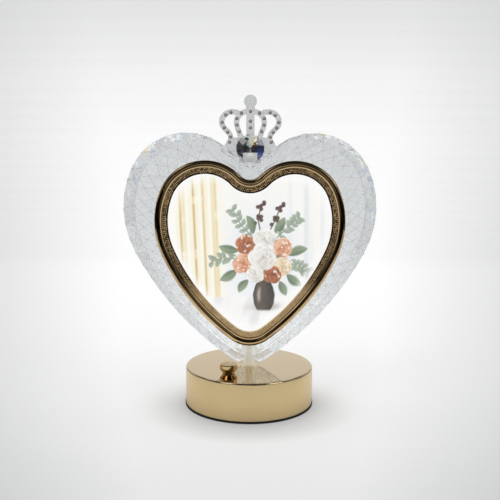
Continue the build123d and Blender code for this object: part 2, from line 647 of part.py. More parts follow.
save("base_screws", *[Pos(x, y, 0) * base_screw for x, y in base_screw_places])
save("foot_pad", upright(DRUM_R + PAD_LIP, 0, FOOT_THICK))
ballast_r = base_screw_ring - BASE_BOSS_R - BALLAST_GAP
save("ballast", upright(ballast_r, plate_top, ballast_top) - upright(BALLAST_BORE, plate_top, ballast_top))

# Rechargeable cell across the back of the base, in a cradle
cell_z = ballast_top + CRADLE_FLOOR + CELL_R
cradle_end = sqrt((drum_room - CELL_CLEAR) ** 2 - (cell_y + CRADLE_HALF_WIDTH) ** 2)
wall_x = cradle_end - CRADLE_WALL
cell_length = 2 * (wall_x - CELL_CAP)
cell = Pos(0, cell_y, cell_z) * (Rot(0, 90, 0) * Cylinder(CELL_R, cell_length))
cell += Pos(cell_length / 2, cell_y, cell_z) * (Rot(0, 90, 0) * Cylinder(CELL_CAP_R, 2 * CELL_CAP))
save("battery", cell)
cradle_y = (cell_y - CRADLE_HALF_WIDTH, cell_y + CRADLE_HALF_WIDTH)
cradle = block((-cradle_end, cradle_end), cradle_y, (ballast_top, ballast_top + CRADLE_FLOOR))
for sense in (1, -1):
    wall_span = sorted((sense * wall_x, sense * cradle_end))
    cradle += block(wall_span, cradle_y, (ballast_top, ballast_top + CRADLE_HEIGHT))
    saddle_x = sense * SADDLE_X
    cradle += block((saddle_x - SADDLE_LENGTH / 2, saddle_x + SADDLE_LENGTH / 2),
                    (cell_y - SADDLE_HALF_WIDTH, cell_y + SADDLE_HALF_WIDTH),
                    (ballast_top, ballast_top + SADDLE_HEIGHT))
cradle -= Pos(0, cell_y, cell_z) * (Rot(0, 90, 0) * Cylinder(CELL_R + SEAT, cell_length))
save("battery_cradle", cradle)

# Control board under the deck with the dimmer on it
board_bottom = dimmer_foot_z - BOARD_THICK
control_board = block((DIMMER_X - BOARD_LENGTH / 2, DIMMER_X + BOARD_LENGTH / 2),
                      (dimmer_y - BOARD_WIDTH / 2, dimmer_y + BOARD_WIDTH / 2), (board_bottom, dimmer_foot_z))
for x, y in board_screw_places:
    control_board -= upright(BOARD_SCREW[0] + CLOSE, board_bottom, dimmer_foot_z, x, y)
save("control_board", control_board)
save("board_screws", *[Pos(x, y, board_bottom) * pan_screw(BOARD_SCREW) for x, y in board_screw_places])
bush_bore = SHAFT_R + RUN
bush_top_z = DRUM_TOP - BUSH_SINK
shaft_foot_z = dimmer_foot_z + SHAFT_FLOOR
knob_top = DRUM_TOP + KNOB_HEIGHT
knob_shoulder_z = DRUM_TOP + KNOB_SHOULDER
dimmer_body = turned([(0, dimmer_foot_z), (DIMMER_R, dimmer_foot_z), (DIMMER_R, dimmer_top_z),
                      (BUSH_R, dimmer_top_z), (BUSH_R, bush_top_z), (bush_bore, bush_top_z),
                      (bush_bore, shaft_foot_z - SLIP), (0, shaft_foot_z - SLIP)])
neck_z = DRUM_TOP + KNOB_GAP
shaft_top = knob_top - KNOB_CAP
knob = turned([(SHAFT_R + SEAT, neck_z), (KNOB_NECK_R, neck_z), (KNOB_NECK_R, neck_z + KNOB_EDGE),
               (KNOB_R, knob_shoulder_z), (KNOB_R, knob_top - KNOB_EDGE), (KNOB_R - KNOB_EDGE, knob_top),
               (0, knob_top), (0, shaft_top), (SHAFT_R + SEAT, shaft_top)])
at_dimmer = Pos(DIMMER_X, dimmer_y, 0)
save("dimmer_body", at_dimmer * dimmer_body)
save("dimmer_shaft", at_dimmer * upright(SHAFT_R, shaft_foot_z, shaft_top))
save("dimmer_knob", at_dimmer * knob)

# Charge board on its posts with the inlet facing the slot in the drum
charge_top = charge_z + CHARGE_THICK
charge_board = block((-CHARGE_HALF, CHARGE_HALF), (charge_front_y, charge_rear_y), (charge_z, charge_top))
for x, y in charge_screw_places:
    charge_board -= upright(CHARGE_SCREW[0] + CLOSE, charge_z, charge_top, x, y)
charge_screw = Rot(180, 0, 0) * pan_screw(CHARGE_SCREW)
save("charge_board", charge_board)
save("charge_screws", *[Pos(x, y, charge_top) * charge_screw for x, y in charge_screw_places])
port_front_y = port_rear_y - PORT_DEPTH
port_skin = Pos(0, port_z) * RectangleRounded(PORT_WIDTH, PORT_HEIGHT, PORT_HEIGHT / 2 - SEAT)
port_room = Pos(0, port_z) * RectangleRounded(PORT_WIDTH - 2 * PORT_WALL, PORT_HEIGHT - 2 * PORT_WALL,
                                              PORT_HEIGHT / 2 - PORT_WALL - SEAT)
usb_socket = slab(port_skin, port_front_y, port_rear_y)
usb_socket -= slab(port_room, port_front_y + PORT_BACK, port_rear_y)
usb_socket += slab(Pos(0, port_z) * Rectangle(TONGUE_WIDTH, TONGUE_THICK), port_front_y + PORT_BACK,
                   port_front_y + PORT_BACK + TONGUE_DEPTH)
save("usb_socket", usb_socket)

# Leads: lamp board to control board through the tube, cell to charge board, charge board to control board
on_board_y = board_front_y - LEAD_R - SEAT
on_control_z = dimmer_foot_z + LEAD_R + SEAT
under_control_z = board_bottom - LEAD_R - SEAT
under_charge_z = charge_z - LEAD_R - SEAT
low_z = ballast_top + LEAD_LIFT


def level(points, z):
    """Plan points at one height."""
    return [(x, y, z) for x, y in points]


def by_wall(turns):
    """Plan points given by angle and distance from the drum's inner wall."""
    return [on_circle((0.0, 0.0), drum_room - edge, angle) for angle, edge in turns]


def by_dimmer(offsets):
    """Plan points given from the dimmer's axis."""
    return [(DIMMER_X + x, dimmer_y + y) for x, y in offsets]


lamp_end = [(0, on_board_y, tube_top_z + rise) for rise in (LAMP_PAD_RISE, LAMP_BEND_RISE)]
tube_run = [(0, 0, tube_top_z + NUDGE), (0, 0, on_control_z)]
save("led_lead", lead(lamp_end + tube_run + level(by_dimmer([LAMP_LEAD_OFFSET]), on_control_z)))
cell_tab = level([(mid(wall_x, cradle_end), cradle_y[1] + out) for out in (0.0, LEAD_OUT)], low_z)
charge_pads = [(x, charge_rear_y - CHARGE_PAD_INSET, under_charge_z) for x in CHARGE_PAD_X]
lead_turn = level(by_wall([LEAD_TURN]), low_z)
save("battery_lead", lead(cell_tab + lead_turn + charge_pads))
other_pads = [(-x, y, z) for x, y, z in reversed(lead_turn + charge_pads)]
pass_x = -cradle_end - LEAD_PASS
cradle_pass = level([(pass_x, cradle_y[1]), (pass_x, cradle_y[0])], low_z)
control_pads = level(by_dimmer(CONTROL_PAD_OFFSETS), under_control_z)
save("link_lead", lead(other_pads + cradle_pass + level(by_wall(LINK_LEAD_TURNS), low_z) + control_pads))
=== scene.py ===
"""Looks of a lit heart photo frame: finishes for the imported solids, a beaded band, a still life print and a stage."""

import math
import random

import bmesh
import bpy
import numpy as np
from bpy.props import FloatProperty, FloatVectorProperty, IntProperty, PointerProperty
from mathutils import Matrix, Vector


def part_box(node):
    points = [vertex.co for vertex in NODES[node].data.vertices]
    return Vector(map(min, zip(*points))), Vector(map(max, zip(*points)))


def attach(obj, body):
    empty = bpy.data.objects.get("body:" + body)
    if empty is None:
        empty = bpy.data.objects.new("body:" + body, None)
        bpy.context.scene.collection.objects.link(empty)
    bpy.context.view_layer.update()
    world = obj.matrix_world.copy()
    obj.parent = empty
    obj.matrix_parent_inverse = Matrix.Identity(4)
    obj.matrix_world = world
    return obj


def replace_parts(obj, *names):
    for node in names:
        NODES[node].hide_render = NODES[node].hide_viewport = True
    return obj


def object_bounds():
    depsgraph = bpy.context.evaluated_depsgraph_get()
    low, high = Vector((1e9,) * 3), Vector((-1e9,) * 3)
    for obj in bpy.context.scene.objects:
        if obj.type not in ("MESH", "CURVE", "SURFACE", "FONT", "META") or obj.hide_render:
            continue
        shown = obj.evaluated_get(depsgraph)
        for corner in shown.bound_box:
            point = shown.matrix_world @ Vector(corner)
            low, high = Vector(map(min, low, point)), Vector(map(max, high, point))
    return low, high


bl_info = {
    "name": "Heart photo lamp",
    "version": (1, 0, 0),
    "blender": (4, 5, 0),
    "location": "View3D > Sidebar > Heart lamp",
    "description": "Finishes, beaded band, print and stage for the heart photo lamp",
    "category": "Object",
}

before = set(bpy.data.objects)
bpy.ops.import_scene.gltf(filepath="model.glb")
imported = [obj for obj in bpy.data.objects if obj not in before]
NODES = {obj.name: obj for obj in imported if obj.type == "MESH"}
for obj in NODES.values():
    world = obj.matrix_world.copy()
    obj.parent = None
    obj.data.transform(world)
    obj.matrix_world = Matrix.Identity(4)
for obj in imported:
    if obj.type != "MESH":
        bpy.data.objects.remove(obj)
CAD_BOX = [list(corner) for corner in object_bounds()]
MM = 0.001
DRUM_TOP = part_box("base_shell")[1].z / MM
BEZEL_FACE = -15.2

# Outline of the bezel in millimetres: tip height over the drum, lobe centre, radii and the angles where they meet
BEZEL_HEART = dict(tip_rise=18.97, lobe_x=32.2, r_lobe=35.0, a_side=21.0, r_side=60.0, a_flank=-24.0,
                   r_flank=157.0, r_tip=22.0, tip_growth=0.68, r_cleft=9.5)


def srgb(red, green, blue):
    """Linear colour from 8-bit screen values."""
    return tuple((c / 255 / 12.92) if c <= 10 else ((c / 255 + 0.055) / 1.055) ** 2.4 for c in (red, green, blue))


def length(name, description, default):
    """A size in metres, given in millimetres."""
    return FloatProperty(name=name, description=description, default=default * MM, unit="LENGTH", precision=5)


def colour(name, description, *screen):
    """A colour, given by its 8-bit screen values."""
    return FloatVectorProperty(name=name, description=description, default=srgb(*screen), size=3, min=0.0, max=1.0,
                               subtype="COLOR")


class HeartLampSizes(bpy.types.PropertyGroup):
    """Sizes of what is added to the frame"""

    bead_pitch: length("Bead pitch", "Spacing of the beads on the bezel's band", 1.35)
    bead_radius: length("Bead radius", "Radius of one bead", 0.62)
    bead_inset: length("First row", "Distance of the first row of beads from the bezel's edge", 5.75)
    bead_rows: IntProperty(name="Bead rows", description="Rows of beads across the band", default=3, min=1, max=6)
    facet_edge: length("Facet ridge", "Half the width of the ridges between the clear facets", 0.28)
    seam: length("Seam", "Hairline between the two clear shells", 0.04)
    print_inset: length("Print inset", "Distance of the print's edge from the bezel's edge", 7.0)
    print_rings: IntProperty(name="Print rings", description="Rings of points in the print", default=130, min=20)
    print_spokes: IntProperty(name="Print spokes", description="Points round the print", default=480, min=60)


class HeartLampColours(bpy.types.PropertyGroup):
    """Colours of the finishes"""

    clear: colour("Clear plastic", "Tint of the clear heart and stem", 232, 234, 235)
    haze: colour("Cut facets", "Tint of the cut facets of the clear heart", 226, 227, 228)
    edge: colour("Facet edge", "Edges between the facets of the clear heart", 239, 235, 228)
    crown: colour("Crown", "Tint of the frosted crown", 216, 217, 218)
    gilt: colour("Gilt bezel", "Plating of the bezel", 220, 190, 144)
    gilt_deep: colour("Gilt shadow", "Plating where it has dulled", 190, 156, 108)
    # Gold of the beads, shown on their tops, and the painted shade for the gaps between them
    bead: colour("Beads", "Tops of the beads on the bezel's band", 255, 217, 162)
    bead_deep: colour("Bead gaps", "Gaps between the beads", 44, 30, 18)
    gold: colour("Drum side", "Satin gold of the drum's side", 220, 196, 148)
    gold_top: colour("Drum top", "Polished gold of the drum's top", 208, 186, 148)
    knob: colour("Knob", "Polished gold of the dimmer knob", 226, 192, 136)
    stone: colour("Stones", "Smoky stones of the crown", 78, 68, 60)
    # Painted sparkle on the small stones' facets
    stone_painted_sparkle: colour("Stone sparkle", "Bright facets of the small stones", 214, 206, 194)
    white: colour("White plastic", "Light box and rear cover", 240, 240, 237)
    # Paper of the sweep in the middle and at the edge of its painted pool of light
    floor: colour("Floor", "Sweep behind and under the lamp", 246, 246, 246)
    floor_edge: colour("Floor edge", "Sweep far from the lamp", 198, 199, 200)


def sizes():
    """Sizes set in the sidebar."""
    return bpy.context.scene.heart_lamp_sizes


def colours():
    """Colours set in the sidebar."""
    return bpy.context.scene.heart_lamp_colours


# Outline of the bezel


def on_circle(centre, radius, angle):
    """Point of a circle at an angle in degrees."""
    return (centre[0] + radius * math.cos(math.radians(angle)), centre[1] + radius * math.sin(math.radians(angle)))


def heart_arcs(grow):
    """Right half of the bezel grown outward: centre, radius, start and end angle of each arc from cleft to tip."""
    heart = BEZEL_HEART
    r_lobe, r_side, r_flank = heart["r_lobe"], heart["r_side"], heart["r_flank"]
    side = on_circle((heart["lobe_x"], 0.0), r_lobe - r_side, heart["a_side"])
    flank = on_circle(side, r_side - r_flank, heart["a_flank"])
    drop = math.sqrt((r_flank - heart["r_tip"]) ** 2 - flank[0] ** 2) + heart["r_tip"]
    lift = DRUM_TOP + heart["tip_rise"] + drop - flank[1]
    lobe, side, flank = ((x, z + lift) for x, z in ((heart["lobe_x"], 0.0), side, flank))
    r_cleft = heart["r_cleft"]
    cleft = (0.0, lobe[1] + math.sqrt((r_lobe + r_cleft) ** 2 - lobe[0] ** 2))
    a_cleft = math.degrees(math.atan2(lobe[1] - cleft[1], lobe[0]))
    r_tip = heart["r_tip"] + heart["tip_growth"] * grow
    tip = (0.0, flank[1] - math.sqrt((r_flank + grow - r_tip) ** 2 - flank[0] ** 2))
    a_tip = math.degrees(math.atan2(tip[1] - flank[1], -flank[0]))
    return (
        (cleft, r_cleft - grow, -90.0, a_cleft),
        (lobe, r_lobe + grow, a_cleft + 180.0, heart["a_side"]),
        (side, r_side + grow, heart["a_side"], heart["a_flank"]),
        (flank, r_flank + grow, heart["a_flank"], a_tip),
        (tip, r_tip, a_tip, -90.0),
    )


def heart_line(grow, count):
    """Evenly spaced points right round the grown bezel outline, in millimetres, from the cleft by the right side."""
    arcs = heart_arcs(grow)
    lengths = [radius * math.radians(abs(end - start)) for _, radius, start, end in arcs]
    points = []
    for i in range(count):
        share = 2.0 * i / count
        sense = 1 if share <= 1.0 else -1
        run = sum(lengths) * (share if sense > 0 else 2.0 - share)
        for (centre, radius, start, end), arc_length in zip(arcs, lengths):
            if run <= arc_length or radius == arcs[-1][1]:
                x, z = on_circle(centre, radius, start + (end - start) * min(run / arc_length, 1.0))
                points.append((sense * x, z))
                break
            run -= arc_length
    return points


def heart_girth(grow):
    """Length round the grown bezel outline, in millimetres."""
    return 2 * sum(r * math.radians(abs(end - start)) for _, r, start, end in heart_arcs(grow))


# Node materials

WHITE = (1.0, 1.0, 1.0)
BLACK = (0.0, 0.0, 0.0)
DEEP, UP = 1, 2


def tint(name, share=1.0):
    """A colour set in the sidebar, darkened to a share of itself."""
    return tuple(c * share for c in getattr(colours(), name))


def screen_stops(*stops):
    """Stops of a ramp from positions and 8-bit screen values."""
    return [(position, srgb(*screen)) for position, *screen in stops]


class Nodes:
    """Nodes of a material or of the world, added and linked one by one."""

    def __init__(self, tree):
        self.nodes, self.links = tree.nodes, tree.links
        self.nodes.clear()

    def put(self, node, name, value):
        """Fills an input with a value, or links it to another node's output."""
        socket = node.inputs[name]
        if isinstance(value, bpy.types.NodeSocket):
            self.links.new(value, socket)
        else:
            socket.default_value = (*value, 1.0) if socket.type == "RGBA" else value

    def add(self, kind, inputs=(), **options):
        """Adds a node with its options, then fills its inputs."""
        node = self.nodes.new("ShaderNode" + kind)
        for name, value in options.items():
            setattr(node, name, value)
        for name, value in dict(inputs).items():
            self.put(node, name, value)
        return node

    def span(self, factor, low, high, start=0.0, end=1.0):
        """Factor stretched from start..end to low..high."""
        return self.add("MapRange", {"Value": factor, "From Min": start, "From Max": end, "To Min": low,
                                     "To Max": high}).outputs[0]

    def rise(self, factor, start, end):
        """Step from 0 up to 1."""
        return self.span(factor, 0.0, 1.0, start, end)

    def fall(self, factor, start, end):
        """Step from 1 down to 0."""
        return self.span(factor, 1.0, 0.0, start, end)

    def math(self, operation, *values):
        """Arithmetic on up to three numbers."""
        return self.add("Math", dict(enumerate(values)), operation=operation).outputs[0]

    def times(self, product, *values):
        """Product of numbers."""
        for value in values:
            product = self.math("MULTIPLY", product, value)
        return product

    def vector(self, operation, *values):
        """Arithmetic on up to three vectors."""
        outputs = self.add("VectorMath", dict(enumerate(values)), operation=operation).outputs
        return outputs["Value" if operation == "DOT_PRODUCT" else "Vector"]

    def axes(self, vector):
        """The three numbers of a vector."""
        return self.add("SeparateXYZ", {"Vector": vector}).outputs

    def mix(self, factor, first, second, blend="MIX"):
        """Blend of two colours."""
        inputs = {0: factor, 6: first, 7: second}
        return self.add("Mix", inputs, data_type="RGBA", blend_type=blend).outputs[2]

    def between(self, factor, first, second):
        """Blend of two numbers."""
        return self.add("Mix", {0: factor, 2: first, 3: second}, data_type="FLOAT").outputs[0]

    def ramp(self, factor, stops, interpolation="LINEAR"):
        """Colour picked along a ramp of stops, each a position with a colour or a grey."""
        node = self.add("ValToRGB", {"Fac": factor})
        bar = node.color_ramp
        bar.interpolation = interpolation
        while len(bar.elements) < len(stops):
            bar.elements.new(0.5)
        for element, (position, shade) in zip(bar.elements, stops):
            element.position = position
            element.color = (*shade, 1.0) if isinstance(shade, tuple) else (shade, shade, shade, 1.0)
        return node.outputs[0]


class Finish(Nodes):
    """A node material with a Principled shader, laid out in the lamp's own coordinates."""

    def __init__(self, name, **shader):
        self.material = bpy.data.materials.new(name)
        self.material.use_nodes = True
        super().__init__(self.material.node_tree)
        self.shader = self.add("BsdfPrincipled")
        self.add("OutputMaterial", {"Surface": self.shader.outputs[0]})
        self.place = self.add("TexCoord").outputs["Object"]
        self.geometry = self.add("NewGeometry").outputs
        self.set(**shader)

    def set(self, **inputs):
        """Fills inputs of the shader, underscores standing for spaces."""
        for name, value in inputs.items():
            self.put(self.shader, name.replace("_", " "), value)

    def at(self, axis):
        """Place of the surface along an axis."""
        return self.axes(self.place)[axis]

    def facing(self, axis):
        """How far the smooth surface faces along an axis."""
        return self.axes(self.geometry["Normal"])[axis]

    def noise(self, scale, detail=3.0, stretch=None):
        """Cloudy factor, its grain given per metre, stretched along the axes if asked."""
        place = self.place
        if stretch:
            place = self.add("Mapping", {"Vector": place, "Scale": stretch}).outputs[0]
        return self.add("TexNoise", {"Vector": place, "Scale": scale, "Detail": detail}).outputs[0]

    def drift(self, scale, low, high, stretch=None):
        """Number that drifts between two values over the surface."""
        return self.span(self.noise(scale, stretch=stretch), low, high, 0.3, 0.7)

    def cloudy(self, scale, light, dark):
        """Colour that drifts between two shades over the surface."""
        return self.mix(self.rise(self.noise(scale), 0.35, 0.7), light, dark)

    def cells(self, scale, randomness=1.0, distance="EUCLIDEAN"):
        """Outputs of a pattern of cells round scattered points."""
        inputs = {"Vector": self.place, "Scale": scale, "Randomness": randomness}
        return self.add("TexVoronoi", inputs, distance=distance).outputs

    def bump(self, height, strength, distance):
        """Fine relief on the shader's normal."""
        node = self.add("Bump", {"Height": height, "Strength": strength, "Distance": distance})
        self.set(Normal=node.outputs[0])


def dress(finish, *names):
    """Gives CAD nodes a finish."""
    for name in names:
        slots = NODES[name].data.materials
        if slots:
            slots[0] = finish.material
        else:
            slots.append(finish.material)


def metal(name, light, dark, rough, grain, relief):
    """Metal or plating whose colour and polish drift, with a fine grain."""
    finish = Finish(name, Metallic=1.0)
    finish.set(Base_Color=finish.cloudy(70.0, light, dark), Roughness=finish.drift(120.0, *rough))
    finish.bump(finish.noise(grain, 2.0), relief, 0.0001)
    return finish


def plastic(name, shade, rough, grain=900.0, relief=0.06):
    """Moulded plastic with a slight drift of colour and a fine texture."""
    finish = Finish(name)
    dull = tuple(c * 0.95 for c in shade)
    finish.set(Base_Color=finish.cloudy(160.0, shade, dull), Roughness=finish.drift(200.0, *rough))
    finish.bump(finish.noise(grain, 2.0), relief, 0.0002)
    return finish


def clear_plastic(name, relief):
    """Clear moulded plastic with soft flow marks, still without its tint and polish."""
    finish = Finish(name, IOR=1.1, Specular_IOR_Level=1.0)
    finish.bump(finish.noise(110.0, 2.0), relief, 0.0004)
    return finish


# Clear heart, stem and crown

# Where the clear shells are cut, by how far a face leans from front to back, as shares from 0 to 1
FRONT_CUT = [(0.0, 0.0), (0.03, 0.0), (0.06, 1.0), (0.46, 1.0), (0.48, 0.0)]
REAR_CUT = [(0.0, 0.0), (0.52, 0.0), (0.55, 1.0)]

# Painted glow of the clear heart from its tip, which stands over the light in the base, up to its lobes
GLOW_HEIGHTS = (0.04, 0.16)
LIT_TIP = [(0.0, 0.085), (0.25, 0.05), (0.5, 0.035), (1.0, 0.022)]

# Painted prism flashes: share of the cells without one, and where they begin and are full, in metres
FLASH_RARITY = 0.78
FLASH_ACROSS = (0.034, 0.042)
FLASH_HEIGHT = (0.1, 0.14)
FLASH_DEPTH = (0.006, 0.0075)
FLASH_HUES = screen_stops((0.0, 240, 244, 248), (0.34, 214, 232, 252), (0.56, 244, 222, 178), (0.62, 252, 244, 222),
                          (0.8, 212, 222, 250), (0.92, 255, 255, 255))

# Ridges along the facet edges: which faces of the shells get them, by how far they lean, and at which angles
RIDGED_FACES = (("heart_front_shell", -1.1, -0.2), ("heart_rear_shell", 0.1, 1.1))
RIDGED_ANGLES = (math.radians(3.0), math.radians(80.0))
# Their height, how deep their sides and roots sink in, in millimetres, and their width on edges that stand out
RIDGE_RISE = 0.04
RIDGE_SIDE_SINK = 0.02
RIDGE_ROOT_SINK = 0.1
RIDGE_OUTER_SHARE = 0.4
# The cleft keeps its smooth hollow: no ridges within this half width and over this height, in millimetres
CLEFT_HALF = 34.0
CLEFT_LOW = 150.0


class HEARTLAMP_OT_clear_heart(bpy.types.Operator):
    """Finish the clear shells, the stem and the crown, and soften their facet edges"""

    bl_idname = "heartlamp.clear_heart"
    bl_label = "Clear heart"

    def execute(self, context):
        dress(cut_plastic("clear_front", FRONT_CUT), "heart_front_shell")
        dress(cut_plastic("clear_rear", REAR_CUT), "heart_rear_shell")
        part_by_a_hair("heart_rear_shell", "Y", sizes().seam)
        part_by_a_hair("stem", "Z", -sizes().seam)
        ridges = facet_ridges()
        ridges.data.materials.append(ridge_polish().material)
        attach(ridges, "frame")
        dress(lit_stem(), "stem")
        dress(frosted_crown(), "crown")
        pass_light(ridges, *(NODES[name] for name in ("heart_front_shell", "heart_rear_shell", "stem", "crown")))
        return {"FINISHED"}


def part_by_a_hair(name, direction, distance):
    """Opens a hairline between two clear pieces that meet face to face, so that light finds its way through."""
    seam = NODES[name].modifiers.new("seam", "DISPLACE")
    seam.direction = direction
    seam.mid_level = 0.0
    seam.strength = distance


def pass_light(*pieces):
    """Lets the lamps' light through clear pieces, which would otherwise cast solid shadows."""
    for piece in pieces:
        piece.visible_shadow = False


def cut_plastic(name, edges):
    """Clear plastic, tinted on the cut facets that lean as far as the edges given, with painted prism flashes of colour
    and a painted glow that fades up from the tip.
    """
    finish = clear_plastic(name, 0.02)
    cut = finish.ramp(finish.rise(outward(finish), -1.0, 1.0), edges)
    tilt = finish.vector("MULTIPLY", finish.geometry["True Normal"], (4.0, 4.0, 4.0))
    facet = finish.add("TexNoise", {"Vector": tilt, "Scale": 1.0, "Detail": 1.0}).outputs[0]
    shade = finish.mix(finish.rise(facet, 0.35, 0.65), tint("haze"), tint("haze", 0.86))
    flash, hue = flashes(finish)
    # Painted prism flashes of colour over the facet tint
    shade = finish.mix(flash, shade, hue)
    finish.set(Base_Color=finish.mix(cut, tint("clear"), shade), Roughness=finish.drift(90.0, 0.0, 0.02))
    # Painted glow of the clear plastic, strongest at the tip and fading up to the lobes
    finish.set(Emission_Color=finish.mix(facet, srgb(255, 252, 246), srgb(240, 246, 252)))
    finish.set(Emission_Strength=finish.ramp(finish.rise(finish.at(UP), *GLOW_HEIGHTS), LIT_TIP))
    haze = finish.math("ADD", finish.drift(60.0, 0.04, 0.1), finish.times(flash, 0.5))
    finish.set(Transmission_Weight=finish.math("SUBTRACT", 1.0, finish.times(haze, cut)))
    return finish


def outward(finish):
    """Depth part of the surface's own normal, the same seen from inside the plastic and from outside."""
    sense = finish.span(finish.geometry["Backfacing"], 1.0, -1.0)
    return finish.times(finish.axes(finish.geometry["True Normal"])[DEEP], sense)


def flashes(finish):
    """Mask and hue of the painted prism flashes on the outer cuts of the upper half."""
    pick, hue, _ = finish.axes(finish.cells(330.0, 0.9, "MANHATTAN")["Color"])
    across, depth, height = finish.axes(finish.place)
    mask = finish.times(finish.math("GREATER_THAN", pick, FLASH_RARITY),
                        finish.rise(finish.math("ABSOLUTE", across), *FLASH_ACROSS),
                        finish.rise(height, *FLASH_HEIGHT),
                        finish.fall(finish.math("ABSOLUTE", depth), *FLASH_DEPTH))
    return mask, finish.ramp(hue, FLASH_HUES, "CONSTANT")


def facet_ridges():
    """Fine rounded ridges along the edges between the outer facets of the two shells."""
    limit = CAD_BOX[1][0] / MM
    vertices, faces = [], []
    for name, low, high in RIDGED_FACES:
        mesh = bmesh.new()
        mesh.from_mesh(NODES[name].data)
        bmesh.ops.remove_doubles(mesh, verts=mesh.verts, dist=1e-6)
        for edge in mesh.edges:
            normals = [face.normal for face in edge.link_faces]
            if len(normals) != 2 or not all(low < n.y < high for n in normals):
                continue
            if not RIDGED_ANGLES[0] < edge.calc_face_angle(0.0) < RIDGED_ANGLES[1]:
                continue
            ends = [vertex.co / MM for vertex in edge.verts]
            if all(abs(end.x) < CLEFT_HALF and end.z > CLEFT_LOW for end in ends):
                continue
            half = sizes().facet_edge / MM * (RIDGE_OUTER_SHARE if edge.is_convex else 1.0)
            along = (ends[1] - ends[0]).normalized()
            out = (normals[0] + normals[1]).normalized()
            sides = []
            for face, normal in zip(edge.link_faces, normals):
                side = along.cross(normal)
                inward = face.calc_center_median() / MM - ends[0]
                sides.append((side if side.dot(inward) > 0 else -side) * half - normal * RIDGE_SIDE_SINK)
            start = len(vertices)
            for end in ends:
                vertices += [end + sides[0], end + out * RIDGE_RISE, end + sides[1], end - out * RIDGE_ROOT_SINK]
            turned = (along.cross(out)).dot(sides[0]) < 0
            for k in range(4):
                n = (k + 1) % 4
                quad = (start + k, start + n, start + 4 + n, start + 4 + k)
                faces.append(quad[::-1] if turned else quad)
            caps = (start + 3, start + 2, start + 1, start), (start + 4, start + 5, start + 6, start + 7)
            faces += [cap[::-1] if turned else cap for cap in caps]
        mesh.free()
    for vertex in vertices:
        vertex.x = max(-limit, min(limit, vertex.x))
    return mesh_piece("facet_ridges", vertices, faces)


def mesh_piece(name, vertices, faces, smooth=False):
    """Mesh object from points in millimetres."""
    mesh = bpy.data.meshes.new(name)
    mesh.from_pydata([Vector(v) * MM for v in vertices], [], faces)
    mesh.validate()
    mesh.polygons.foreach_set("use_smooth", [smooth] * len(mesh.polygons))
    piece = bpy.data.objects.new(name, mesh)
    bpy.context.scene.collection.objects.link(piece)
    return piece


def ridge_polish():
    """Clear ridges, milky in places."""
    finish = Finish("ridge_polish", IOR=1.1)
    finish.set(Base_Color=finish.mix(finish.rise(finish.noise(90.0), 0.4, 0.6), tint("edge"), WHITE))
    finish.set(Transmission_Weight=finish.drift(90.0, 1.0, 0.75), Roughness=finish.drift(200.0, 0.1, 0.3))
    return finish


def lit_stem():
    """Clear plastic of the stem, a little milky, with a painted glow standing in for the light of the base in it."""
    finish = clear_plastic("clear_stem", 0.03)
    finish.set(Base_Color=finish.mix(finish.noise(25.0), tint("clear"), tint("clear", 0.97)))
    finish.set(Transmission_Weight=finish.drift(60.0, 0.75, 0.9), Roughness=finish.drift(90.0, 0.0, 0.03))
    # Painted glow in the clear stem
    glow = finish.mix(finish.noise(80.0), srgb(255, 248, 228), srgb(246, 240, 224))
    finish.set(Emission_Color=glow, Emission_Strength=0.1)
    return finish


def frosted_crown():
    """Frosted plastic of the crown, clear where its tongue sits between the shells."""
    finish = clear_plastic("frosted_crown", 0.5)
    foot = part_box("crown")[0].z
    above = finish.rise(finish.at(UP), foot + 0.004, foot + 0.007)
    frost = finish.mix(finish.noise(900.0), tint("crown"), tint("crown", 0.86))
    finish.set(Base_Color=finish.mix(above, WHITE, frost))
    finish.set(Roughness=finish.times(above, finish.drift(400.0, 0.08, 0.25)))
    milk = finish.times(above, finish.drift(700.0, 0.08, 0.28))
    finish.set(Transmission_Weight=finish.math("SUBTRACT", 1.0, milk))
    return finish


# Stones

# Colours of the facets of the large stone, part its own tint and part painted reflections, light and dark, counted
# clockwise from the bottom as shares of a turn
OUTER_FACETS = screen_stops(
    (0.0, 226, 229, 231), (0.10, 150, 162, 186), (0.14, 100, 112, 136), (0.22, 84, 86, 92), (0.31, 92, 88, 70),
    (0.36, 74, 75, 80), (0.42, 150, 146, 120), (0.46, 238, 250, 252), (0.53, 248, 246, 222), (0.58, 96, 92, 96),
    (0.64, 140, 142, 150), (0.68, 90, 102, 136), (0.77, 86, 108, 188), (0.86, 98, 126, 202), (0.90, 176, 184, 222))
INNER_FACETS = screen_stops(
    (0.0, 150, 154, 160), (0.0625, 92, 94, 100), (0.1875, 104, 100, 86), (0.3125, 66, 68, 74), (0.40, 206, 236, 255),
    (0.48, 255, 255, 255), (0.5625, 246, 230, 164), (0.64, 70, 60, 66), (0.8125, 96, 94, 108), (0.9375, 150, 154, 160))

# Its kites: how many, how far they reach in and out, and the radius round which they do, in metres
KITES = 8.0
KITE_REACH = 0.0014
KITE_RING = (0.0052, 0.0054)
# The facet at its bottom, painted pale as a reflection: how low it begins and its half width, in metres
PALE_FACET_TOP = (-0.0032, -0.003)
PALE_FACET_HALF = (0.0050, 0.0052)


class HEARTLAMP_OT_stones(bpy.types.Operator):
    """Finish the crown's small stones and its large faceted stone"""

    bl_idname = "heartlamp.stones"
    bl_label = "Stones"

    def execute(self, context):
        dress(small_stones(), "crown_stones")
        dress(large_stone(), "crown_jewel")
        return {"FINISHED"}


